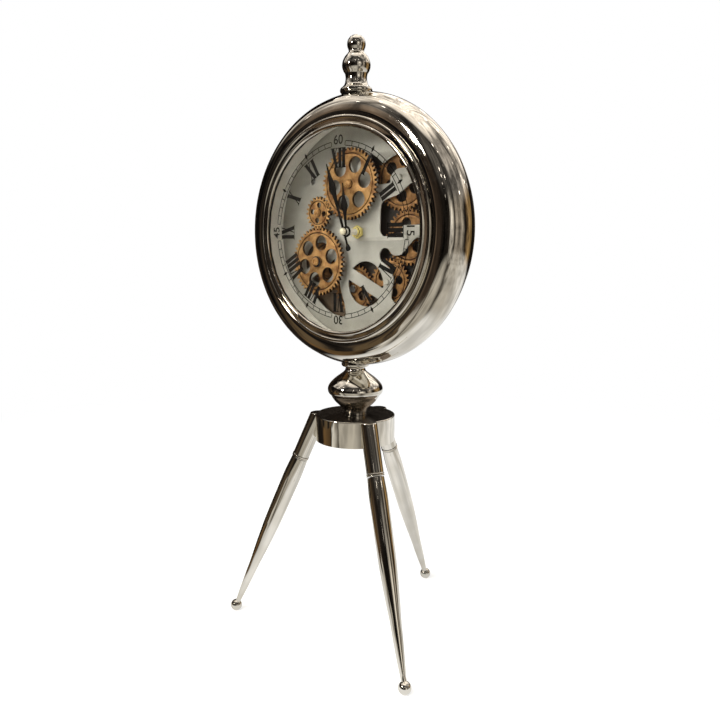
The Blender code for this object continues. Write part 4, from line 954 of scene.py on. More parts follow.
@dataclass
class Case:
    """Spun shells, bezel, liner, glass and turned finial."""

    palette: Palette
    seam: float = 9.0
    wall: float = 1.2
    screw_ring: float = 87.0

    def outline(self) -> Outline:
        """Outer line of both shells from the mouth to the back."""
        shoulder = [(95.2, -22.5), (97.9, -22.75), (101.4, -22.5), (105.1, -21.85), (109.0, -19.6),
                    (111.3, -16.8)]
        band = [(barrel(depth), depth) for depth in (-14.0, -11.0, -7.0, -3.0, 1.0, 5.0, 9.0, 10.6)]
        back = [(109.7, 15.7), (105.0, 21.8), (99.1, 27.9), (94.4, 32.0), (92.0, 34.0)]
        return through(shoulder + band + back, 4)

    def inset(self, line: Outline, depth: float) -> Outline:
        """Move a line inwards, square to itself.

        Args:
            line: The line's points.
            depth: How far it moves.

        Returns:
            The moved line.
        """
        moved = []
        for index, point in enumerate(line):
            before, after = line[max(index - 1, 0)], line[min(index + 1, len(line) - 1)]
            run = Vector((after[0] - before[0], after[1] - before[1])).normalized()
            moved.append((point[0] - run.y * depth, point[1] + run.x * depth))
        return moved

    def build_shells(self) -> None:
        """Spin the front and rear shells, with a fine rolled seam between them."""
        line = self.outline()
        front = [point for point in line if point[1] < self.seam - 0.3]
        roll = front[-1][0]
        front += [(roll - 0.05, self.seam - 0.25), (roll - 0.3, self.seam)]
        inner = [point for point in self.inset(front[:-2], self.wall) if point[1] > -20.0]
        lip = [(95.2, -21.1), (89.6, -21.1), (89.6, -19.9), (inner[0][0] - 1.5, -19.9)]
        ring = lathe(front + [(inner[-1][0], self.seam)] + inner[::-1] + lip[::-1], 160)
        fit("spun_front_shell", [ring], self.palette.nickel, Slot.GUNMETAL, "front_case")
        start = self.seam + GAP
        rear = [point for point in line if point[1] > start + 0.3]
        rear = [(rear[0][0] - 0.3, start), (rear[0][0] - 0.05, start + 0.25)] + rear
        inner = [point for point in self.inset(rear, self.wall) if start + 1.5 < point[1] < 31.5]
        edge, end = inner[0][0], self.seam - 4.0
        lap = [(edge - 0.6, start + 1.3), (edge - 0.6, end), (edge - 1.8, end), (edge - 1.8, start + 1.6)]
        lip = [(90.5, 32.8), (84.0, 32.8), (84.0, 34.0)]
        ring = lathe(rear + lip[::-1] + inner[::-1] + lap[::-1], 160)
        fit("spun_rear_shell", [ring], self.palette.nickel, Slot.GUNMETAL, "rear_case")

    def build_bezel(self) -> None:
        """Turn the bezel: a rounded band round the glass, a flat ring and an outer bead."""
        line = chain(
            [(85.0, -24.25), (85.05, -24.9), (85.4, -25.5), (86.1, -26.0), (86.9, -26.2), (87.7, -26.0),
             (88.4, -25.5), (89.0, -24.6), (89.2, -24.3)],
            [(89.2, -24.3), (90.4, -24.25), (91.5, -24.2)],
            [(91.5, -24.2), (91.7, -24.7), (92.3, -25.15), (93.1, -25.35), (93.9, -25.2), (94.5, -24.7),
             (94.9, -23.8)],
            steps=3,
        )
        ring = lathe(line + [(94.9, -21.4), (88.3, -21.4), (88.3, -24.25)], 160)
        fit("turned_bezel", [ring], self.palette.nickel, Slot.GUNMETAL, "bezel")

    def build_glass(self) -> None:
        """Cut the glass with a ground edge."""
        line = [(0.0, -24.0), (87.5, -24.0), (88.0, -23.6), (88.0, -22.8), (87.6, -22.4), (0.0, -22.4)]
        fit("glass_pane", [lathe(line, 160)], self.palette.glass, Slot.GLASS, "glass")

    def build_liner(self) -> None:
        """Spin the pale sleeve between the glass and the plate."""
        line = [(87.0, -19.6), (94.6, -19.6), (95.2, -19.0), (95.2, 3.0), (101.2, 3.0), (101.2, 4.2),
                (94.4, 4.2), (94.0, 3.8), (94.0, -17.6), (93.2, -18.4), (87.0, -18.4)]
        fit("spun_liner", [lathe(line, 160)], self.palette.liner, Slot.PLATE, "dial_liner")

    def build_finial(self) -> None:
        """Turn the finial: foot ring, waist, two balls."""
        line = chain(
            [(12.6, -7.5), (12.7, -2.5), (12.9, -0.2), (13.7, 0.8), (13.8, 2.0), (13.3, 3.4), (12.0, 4.4)],
            [(12.0, 4.4), (10.3, 6.4), (9.4, 9.0), (9.1, 12.6), (9.5, 15.4)],
            [(9.5, 15.4), (11.2, 18.3), (12.05, 21.6), (11.6, 25.3), (9.9, 29.0), (7.6, 31.7)],
            [(7.6, 31.7), (6.6, 33.2), (6.5, 34.3), (6.8, 35.2)],
            [(6.8, 35.2), (7.6, 37.4), (7.8, 39.5), (7.3, 42.3), (5.7, 44.8), (3.2, 46.5), (0.0, 47.1)],
            steps=5,
        )
        shape = lathe([(0.0, -7.5), *line], 96, Axis.UPRIGHT)
        saddle(shape, -CASE_R, -1)
        place = DIAL @ Matrix.Translation((0.0, 0.0, CASE_R))
        fit("turned_finial", [shape], self.palette.nickel, Slot.GUNMETAL, "finial", place=place, sharp=28.0)

    def build_back(self) -> None:
        """Press the back cover with two shallow rings, and turn its screws."""
        inner = through([(24.0, 35.5), (26.0, 35.3), (28.0, 35.0), (30.0, 35.3), (32.0, 35.6)], 3)
        outer = through([(70.0, 35.6), (72.0, 35.35), (74.0, 35.0), (76.0, 35.35), (78.0, 35.65)], 3)
        edge = through([(89.3, 35.7), (89.8, 35.5), (90.0, 35.0), (89.9, 34.5)], 3)
        line = [(0.0, 35.5), *inner, *outer, *edge, (89.6, 34.3), (0.0, 34.3)]
        fit("pressed_back_cover", [lathe(line, 160)], self.palette.satin_nickel, Slot.GUNMETAL, "rear_cover")
        for index, centre in enumerate(circle(self.screw_ring, 3, first=90.0)):
            head = lathe([(0.0, 32.4), (1.2, 32.4), (1.2, 36.0), (2.3, 36.0), (2.3, 36.5), (1.9, 37.05),
                          (0.0, 37.2)], 24)
            screw = combined(head, [block((0.0, 37.2, 0.0), (6.0, 1.0, 0.5))], "DIFFERENCE")
            fit(f"slotted_screw_{index + 1}", [screw], self.palette.zinc, Slot.SCREW,
                f"cover_screw_{index + 1}", place=on_dial(centre))

    def build(self) -> None:
        """Build the whole case."""
        self.build_shells()
        self.build_bezel()
        self.build_glass()
        self.build_liner()
        self.build_finial()
        self.build_back()


@dataclass
class DialPrint:
    """Roman numerals, minute track and figures printed in black on the back of the glass."""

    ink: Look
    front: float = -22.38
    thick: float = 0.05
    foot_r: float = 52.3
    height: float = 16.2
    heavy: float = 3.25
    fine: float = 0.85
    serif: float = 0.6
    track: Point = (70.3, 74.0)
    line: float = 0.62
    # Degrees left free on each side of a figure
    gap: float = 6.4
    figure_size: float = 10.6
    figure_foot: float = 71.6
    widths: dict[str, float] = field(default_factory=lambda: {"I": 4.1, "V": 7.7, "X": 7.9})
    numerals: tuple[str, ...] = ("XII", "I", "II", "III", "IV", "V", "VI", "VII", "VIII", "IX", "X", "XI")

    def spot(self, across: float, out: float, degrees: float) -> Point:
        """Place a point given across and outwards along a clockwise angle from twelve."""
        turn = math.radians(degrees)
        return out * math.sin(turn) + across * math.cos(turn), out * math.cos(turn) - across * math.sin(turn)

    def stroke(self, shape: Shape, low: float, high: float, width: float, degrees: float) -> None:
        """Draw one stroke with a short serif at each end.

        Args:
            shape: The shape it is added to.
            low: Where its foot stands across the numeral.
            high: Where its top stands across the numeral.
            width: Its width.
            degrees: The numeral's angle, clockwise from twelve.
        """
        half, foot, top = width / 2, self.foot_r, self.foot_r + self.height
        corners = [(low - half, foot), (low + half, foot), (high + half, top), (high - half, top)]
        plank(shape, [self.spot(*corner, degrees) for corner in corners], self.front, self.thick)
        reach = half + 0.85
        for middle, base in ((low, foot), (high, top - self.serif)):
            ends = [(middle - reach, base), (middle + reach, base), (middle + reach, base + self.serif),
                    (middle - reach, base + self.serif)]
            plank(shape, [self.spot(*corner, degrees) for corner in ends], self.front, self.thick)

    def numeral(self, shape: Shape, text: str, degrees: float) -> None:
        """Draw one numeral with its foot towards the middle.

        Args:
            shape: The shape it is added to.
            text: The numeral's letters.
            degrees: Its angle, clockwise from twelve.
        """
        across = -sum(self.widths[letter] for letter in text) / 2
        for letter in text:
            width = self.widths[letter]
            middle, reach = across + width / 2, width / 2 - 1.8
            if letter == "I":
                self.stroke(shape, middle, middle, self.heavy, degrees)
            elif letter == "V":
                self.stroke(shape, middle, middle - reach, self.heavy, degrees)
                self.stroke(shape, middle + 0.5, middle + reach + 0.7, self.fine, degrees)
            else:
                self.stroke(shape, middle + reach, middle - reach, self.heavy, degrees)
                self.stroke(shape, middle - reach, middle + reach, self.fine, degrees)
            across += width

    def figures(self) -> list[Shape]:
        """Set the minute figures at the quarters.

        Returns:
            One shape for each figure.
        """
        made = []
        for text, degrees in (("60", 0.0), ("15", 90.0), ("30", 180.0), ("45", 270.0)):
            curve = bpy.data.curves.new("figures", "FONT")
            curve.body = text
            curve.size = self.figure_size
            curve.offset = 0.12
            curve.align_x = "CENTER"
            curve.extrude = self.thick / 2
            shape = drawn(curve)
            foot = Matrix.Translation((0.0, self.front + self.thick / 2, self.figure_foot))
            shape.transform(Matrix.Rotation(math.radians(degrees), 4, "Y") @ foot @ STANDING)
            made.append(shape)
        return made

    def build(self) -> None:
        """Print everything as one piece."""
        shape = bmesh.new()
        for hour, text in enumerate(self.numerals):
            self.numeral(shape, text, 30.0 * hour)
        for radius in self.track:
            radii = (radius - self.line / 2, radius + self.line / 2)
            for start in (0.0, 90.0, 180.0, 270.0):
                arc(shape, radii, (start + self.gap, start + 90.0 - self.gap), self.front, self.thick)
        half, low, high = self.line / 2, *self.track
        for minute in range(60):
            if minute % 15 == 0:
                continue
            corners = [(-half, low), (half, low), (half, high), (-half, high)]
            if minute % 5 == 0:
                corners = [(0.0, low + 0.6), (1.35, low + 3.9), (0.0, high + 3.4), (-1.35, low + 3.9)]
            plank(shape, [self.spot(*corner, 6.0 * minute) for corner in corners], self.front, self.thick)
        fit("dial_print", [shape, *self.figures()], self.ink, Slot.HAND)


@dataclass
class Plates:
    """The pierced plate that carries the train."""

    palette: Palette
    front: float = 4.5
    thick: float = 1.2
    edge_r: float = 101.2
    bar: float = 10.6
    top_window: tuple[Point, ...] = (
        (0.128, 0.702), (0.170, 0.610), (0.213, 0.532), (0.225, 0.470), (0.213, 0.420), (0.367, 0.423),
        (0.364, 0.484), (0.436, 0.545), (0.647, 0.553), (0.575, 0.625), (0.500, 0.691), (0.362, 0.644),
        (0.277, 0.596), (0.220, 0.655),
    )
    side_window: tuple[Point, ...] = (
        (0.257, 0.271), (0.465, 0.322), (0.574, 0.402), (0.705, 0.476), (0.800, 0.290), (0.849, 0.053),
        (0.500, 0.053), (0.500, -0.037), (0.282, -0.043), (0.252, 0.000),
    )
    low_window: tuple[Point, ...] = (
        (0.849, -0.053), (0.660, -0.058), (0.617, -0.085), (0.553, -0.149), (0.500, -0.202), (0.460, -0.216),
        (0.404, -0.213), (0.372, -0.186), (0.345, -0.150), (0.287, -0.145), (0.248, -0.191), (0.255, -0.255),
        (0.309, -0.293), (0.362, -0.330), (0.399, -0.383), (0.415, -0.436), (0.404, -0.479), (0.394, -0.532),
        (0.388, -0.606), (0.426, -0.644), (0.532, -0.665), (0.660, -0.536), (0.780, -0.337),
    )
    foot_window: tuple[Point, ...] = (
        (-0.740, -0.440), (-0.690, -0.400), (-0.640, -0.463), (-0.560, -0.510), (-0.480, -0.527),
        (-0.390, -0.518), (-0.310, -0.475), (-0.255, -0.425), (-0.234, -0.468), (-0.223, -0.543),
        (-0.181, -0.649), (-0.154, -0.777), (-0.181, -0.803), (-0.319, -0.787), (-0.426, -0.729),
        (-0.511, -0.660), (-0.638, -0.553),
    )

    def barred(self, centre: Point, radius: float, degrees: float, through_point: Point) -> list[Outline]:
        """Cut a round window that a bar crosses.

        Args:
            centre: The window's centre.
            radius: Its radius.
            degrees: The bar's angle.
            through_point: A point that the bar's middle goes through.

        Returns:
            The outlines of the two segments that are left open.
        """
        along = Vector((math.cos(math.radians(degrees)), math.sin(math.radians(degrees))))
        across = Vector((-along.y, along.x))
        middle = Vector(centre)
        offset = (Vector(through_point) - middle).dot(across)
        loops = []
        for side in (1, -1):
            edge = side * offset + self.bar / 2
            half = math.acos(max(-1.0, min(1.0, edge / radius)))
            turns = [-half + 2 * half * index / 28 for index in range(29)]
            loops.append([
                tuple(middle + across * side * radius * math.cos(turn) + along * radius * math.sin(turn))
                for turn in turns
            ])
        return loops

    def build(self, train: Train) -> None:
        """Cut the plate round the train.

        Args:
            train: Centre, tooth count and phase of every wheel.
        """
        lower = train["gear_lower"][0]
        loops = [circle(self.edge_r, 180)]
        for window in (self.top_window, self.side_window, self.low_window, self.foot_window):
            loops.append(rounded([(LINER_R * across, LINER_R * up) for across, up in window]))
        low = (LINER_R * 0.085, LINER_R * -0.479)
        left = (LINER_R * -0.489, LINER_R * -0.287)
        loops += self.barred(low, LINER_R * 0.210, -25.6, low)
        loops += self.barred(left, LINER_R * 0.197, 33.0, lower)
        for name in ("rear_gear_mid", "rear_gear_side", "rear_gear_top", "gear_idler", "gear_upper"):
            loops.append(circle(2.0, 20, train[name][0]))
        for across, up in ((-0.579, 0.494), (0.0, -0.947), (0.930, 0.0)):
            loops.append(circle(2.0, 20, (LINER_R * across, LINER_R * up)))
        loops += [circle(4.3, 32), circle(3.1, 28, lower)]
        plate = sheet(loops, self.front, self.thick, 0.15)
        fit("pierced_plate", [plate], self.palette.plate, Slot.PLATE, "dial_plate")


@dataclass
class Wheel:
    """One wheel: toothed rim, recessed web with round holes, hub."""

    name: str
    body: Body
    holes: int
    hole_r: float
    hole_ring: float
    first: float
    bore: float
    hub_r: float
    hub: Point
    front: float = -3.5
    thick: float = 3.0
    rim: float = 2.0
    groove: float = 0.95
    # How far the groove's seat and the web lie behind the rim's face, and the seat's back before the rim's
    seat_drop: float = 0.25
    seat_back: float = 0.9
    web_drop: float = 0.12
    # Half a tooth gap, a tooth and half a gap: radius in modules from the pitch line, and place in steps
    tooth: tuple[Point, ...] = (
        (-1.25, -0.50), (-1.25, -0.34), (-0.95, -0.29), (0.0, -0.205), (0.50, -0.135), (0.68, -0.090),
        (0.68, 0.090), (0.50, 0.135), (0.0, 0.205), (-0.95, 0.29), (-1.25, 0.34),
    )

    def teeth(self, count: int, phase: float, module: float) -> Outline:
        """Tooth outline about zero, with rounded flanks and a flat root.

        Args:
            count: How many teeth.
            phase: Angle of the first tooth in degrees.
            module: Pitch diameter over tooth count.

        Returns:
            The closed outline.
        """
        pitch, step = module * count / 2, 360.0 / count
        points = []
        for index in range(count):
            for out, offset in self.tooth:
                turn = math.radians(phase + step * (index + offset))
                radius = pitch + module * out
                points.append((radius * math.cos(turn), radius * math.sin(turn)))
        return points

    def build(self, look: Look, train: Train, module: float) -> None:
        """Cut the rim and web and turn the hub.

        Args:
            look: The wheel's finish.
            train: Centre, tooth count and phase of every wheel.
            module: Pitch diameter over tooth count.
        """
        centre, count, phase = train[self.name]
        pitch = module * count / 2
        rim_in = pitch - module * 1.25 - self.rim
        rim = sheet([self.teeth(count, phase, module), circle(rim_in, 96)], self.front, self.thick)
        near, far = self.front + self.seat_drop, self.front + self.thick - self.seat_back
        inner = rim_in - self.groove
        # The seat's sloped V front takes the lacquer's side-wall tone: painted shade in the groove's bottom
        seat = lathe([(inner - 0.5, near), (inner, near), (rim_in - self.groove / 2, near + 0.9),
                      (rim_in, near), (rim_in + 0.2, near), (rim_in + 0.2, far), (inner - 0.5, far)], 96)
        spots = circle(self.hole_ring, self.holes, first=self.first)
        loops = [circle(inner, 96), *(circle(self.hole_r, 40, spot) for spot in spots),
                 circle(self.bore + 0.3, 32)]
        web = sheet(loops, self.front + self.web_drop, self.thick - 2 * self.web_drop, 0.2)
        near, far = self.hub
        hub = lathe([(self.bore, near), (self.hub_r - 0.3, near), (self.hub_r, near + 0.3), (self.hub_r, far),
                     (self.bore, far)], 40)
        fit(f"wheel_{self.name}", [rim, seat, web, hub], look, Slot.GEAR, self.name, body=self.body,
            place=on_dial(centre))


@dataclass
class GearWork:
    """The train in front of the plate and between the plates, with studs and arbor."""

    palette: Palette
    module: float = LINER_R * 0.01383
    lower: Point = (LINER_R * -0.4447, LINER_R * -0.2761)
    teeth: dict[str, int] = field(default_factory=lambda: {
        "gear_lower": 46, "gear_idler": 21, "gear_upper": 46, "rear_gear_drive": 30, "rear_gear_low": 33,
        "rear_gear_mid": 30, "rear_gear_side": 35, "rear_gear_top": 41,
    })
    steps: tuple[tuple[str, str, float], ...] = (
        ("gear_lower", "gear_idler", 89.2), ("gear_idler", "gear_upper", 32.3),
        ("rear_gear_drive", "rear_gear_low", -35.6), ("rear_gear_low", "rear_gear_mid", 10.0),
        ("rear_gear_mid", "rear_gear_side", 63.1), ("rear_gear_side", "rear_gear_top", 97.6),
    )

    def train(self) -> Train:
        """Place every wheel in mesh with the one that turns it.

        Returns:
            Centre, tooth count and phase of every wheel.
        """
        found = {name: (self.lower, self.teeth[name], 0.0) for name in ("gear_lower", "rear_gear_drive")}
        for one, two, degrees in self.steps:
            centre, count, phase = found[one]
            reach = self.module * (count + self.teeth[two]) / 2
            turn = math.radians(degrees)
            share = ((degrees - phase) * count / 360.0) % 1.0
            spot = (centre[0] + reach * math.cos(turn), centre[1] + reach * math.sin(turn))
            phase = degrees + 180.0 - (0.5 - share) * 360.0 / self.teeth[two]
            found[two] = (spot, self.teeth[two], phase)
        return found

    def build_wheels(self, train: Train) -> None:
        """Build every wheel.

        Args:
            train: Centre, tooth count and phase of every wheel.
        """
        front, rear = (-4.7, 4.2), (6.3, 13.4)
        wheels = (
            Wheel("gear_lower", Body.DRIVE, 6, 6.8, 17.0, 16.0, 3.3, 4.9, front),
            Wheel("gear_idler", Body.IDLER, 4, 2.4, 6.9, 80.0, 2.3, 3.9, front, rim=1.2),
            Wheel("gear_upper", Body.UPPER, 6, 6.8, 17.0, 8.0, 2.3, 3.9, front),
            Wheel("rear_gear_drive", Body.DRIVE, 5, 3.7, 9.9, 20.0, 3.3, 4.9, rear, 8.5),
            Wheel("rear_gear_low", Body.REAR_LOW, 5, 4.4, 11.0, 40.0, 2.3, 3.9, (7.3, 13.4), 8.5),
            Wheel("rear_gear_mid", Body.REAR_MID, 5, 3.7, 9.9, 10.0, 2.3, 3.9, rear, 8.5),
            Wheel("rear_gear_side", Body.REAR_SIDE, 5, 4.7, 11.9, 30.0, 2.3, 3.9, rear, 8.5),
            Wheel("rear_gear_top", Body.REAR_TOP, 6, 5.2, 14.6, 25.0, 2.3, 3.9, rear, 8.5),
        )
        for wheel in wheels:
            look = self.palette.rear_gear if wheel.name.startswith("rear") else self.palette.gear
            wheel.build(look, train, self.module)

    def build_studs(self, train: Train) -> None:
        """Turn the studs and the socket screw that the dial shows.

        Args:
            train: Centre, tooth count and phase of every wheel.
        """
        for name in ("idler", "upper"):
            crown = through([(0.9, -6.3), (2.2, -6.05), (3.1, -5.6), (3.4, -5.2)], 3)
            line = [(0.0, -6.35), *crown, (3.4, -5.0), (2.2, -5.0), (2.2, 4.2), (1.7, 4.2), (1.7, 6.0),
                    (3.0, 6.0), (2.4, 7.0), (0.0, 7.0)]
            fit(f"turned_stud_{name}", [lathe(line, 40)], self.palette.brass, Slot.TURNED, f"{name}_stud",
                place=on_dial(train[f"gear_{name}"][0]))
        crown = through([(2.6, -7.85), (3.3, -7.6), (3.7, -7.1), (3.8, -6.6)], 3)
        head = lathe([(0.0, -7.85), *crown, (3.8, -6.3), (1.2, -6.3), (1.2, -2.0), (0.0, -2.0)], 48)
        socket = lathe([(0.0, -8.2), (1.75, -8.2), (1.75, -6.8), (0.0, -6.8)], 6)
        screw = combined(head, [socket], "DIFFERENCE")
        fit("socket_screw", [screw], self.palette.brass, Slot.TURNED, "drive_screw", body=Body.DRIVE,
            place=on_dial(train["gear_lower"][0]))

    def build(self) -> Train:
        """Build the train.

        Returns:
            Centre, tooth count and phase of every wheel.
        """
        train = self.train()
        self.build_wheels(train)
        self.build_studs(train)
        return train


@dataclass
class Hands:
    """Leaf hands with their tube, dome nut and hexagon nut."""

    palette: Palette
    # Half the angle, in radians, at which a hub opens into its leaf and tail
    opening: float = 0.30
    minute_leaf: tuple[Point, ...] = (
        (1.05, 3.2), (1.15, 12.0), (1.3, 19.0), (1.65, 27.5), (2.35, 33.5), (3.15, 38.2), (3.3, 40.6),
        (2.7, 45.0), (1.75, 49.8), (0.85, 55.8), (0.3, 60.8),
    )
    tail: tuple[Point, ...] = (
        (0.95, -3.2), (1.0, -10.8), (1.7, -12.6), (2.5, -14.6), (2.2, -16.5), (0.4, -17.4),
    )
    hour_leaf: tuple[Point, ...] = (
        (1.15, 4.6), (1.2, 9.0), (1.35, 13.0), (2.1, 17.2), (3.3, 20.0), (3.6, 21.8), (3.0, 24.8),
        (1.8, 28.9), (0.9, 33.9), (0.25, 41.4),
    )

    def blade(self, leaf: Sequence[Point], hub: float, tail: Sequence[Point]) -> Outline:
        """Draw a hand: leaf, hub circle and tail.

        Args:
            leaf: The right edge of its leaf, from the hub to the point.
            hub: The radius of its hub.
            tail: The right edge of its tail, empty where it has none.

        Returns:
            The closed outline.
        """
        start = self.opening
        line = through([(hub * math.sin(start), hub * math.cos(start)), *leaf], 5)[::-1]
        stop = math.pi - start if tail else math.pi
        turns = [start + (stop - start) * index / 16 for index in range(1, 17)]
        line += [(hub * math.sin(turn), hub * math.cos(turn)) for turn in turns]
        if tail:
            line += through(list(tail), 5)
        else:
            line = line[:-1]
        return line + [(-across, up) for across, up in line[::-1]]

    def build(self) -> None:
        """Cut both hands and turn what holds them."""
        for name, body, leaf, hub, tail, front, bore, degrees in (
            ("minute_hand", Body.MINUTE, self.minute_leaf, 3.35, self.tail, -15.6, 1.7, -19.1),
            ("hour_hand", Body.HOUR, self.hour_leaf, 4.75, (), -12.4, 3.0, -6.0),
        ):
            cut = sheet([self.blade(leaf, hub, tail), circle(bore, 32)], front, 0.8, 0.18)
            place = DIAL @ Matrix.Rotation(math.radians(degrees), 4, "Y")
            fit(f"leaf_{name}", [cut], self.palette.enamel, Slot.HAND, name, body=body, place=place)
        turns = [math.pi / 2 * index / 10 for index in range(1, 11)]
        dome = [(3.0 * math.sin(turn), -18.7 + 2.0 * (1 - math.cos(turn))) for turn in turns]
        dome = [(0.0, -18.7), *dome, (3.0, -15.9), (1.7, -15.9), (1.7, -17.3), (0.0, -17.3)]
        fit("domed_cap_nut", [lathe(dome, 48)], self.palette.cream, Slot.TURNED, "dome_nut", body=Body.MINUTE)
        tube = [(1.5, -12.8), (2.5, -12.8), (2.7, -12.6), (2.7, 20.5), (1.5, 20.5)]
        fit("hand_tube", [lathe(tube, 40)], self.palette.tube, Slot.TUBE, "hour_tube", body=Body.HOUR)
        nut = lathe([(0.0, 0.9), (5.1, 0.9), (5.75, 1.3), (5.75, 3.9), (5.5, 4.2), (0.0, 4.2)], 6)
        bore = lathe([(0.0, 0.0), (4.3, 0.0), (4.3, 5.0), (0.0, 5.0)], 40)
        made = combined(nut, [bore], "DIFFERENCE")
        turned = DIAL @ Matrix.Rotation(math.radians(30.0), 4, "Y")
        fit("hexagon_nut", [made], self.palette.pale_brass, Slot.TURNED, "hex_nut", place=turned)
        face = lathe([(3.0, -0.45), (3.85, -0.45), (4.05, -0.25), (4.05, 0.12), (3.0, 0.12)], 48)
        fit("bushing_face", [face], self.palette.pale_brass, Slot.TURNED)


@dataclass
class CarriedNodes:
    """CAD nodes that keep their shape and get a finish."""

    palette: Palette
    threes: tuple[str, ...] = ("bezel_screw", "plate_screw", "pillar")

    def build(self) -> None:
        """Give each shown node its finish."""
        looks = {
            self.palette.rubber: ("glass_gasket",),
            self.palette.blackened: ("gear_bridge",),
            self.palette.plastic: ("movement_case", "setting_knob", "drive_washer"),
            self.palette.cell: ("battery",),
            self.palette.zinc: (
                *(f"{kind}_{number}" for kind in self.threes for number in (1, 2, 3)),
                "neck_bolt", "neck_nut", "finial_nut", "low_stud", "drive_arbor", "minute_shaft",
                "gear_motor",
            ),
            self.palette.plate: ("mid_stud", "side_stud", "top_stud"),
        }
        for look, names in looks.items():
            for name in names:
                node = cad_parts[name]
                node.data.materials.clear()
                node.data.materials.append(look)
                LOG.info("%s keeps its shape, in %s", name, look.name)


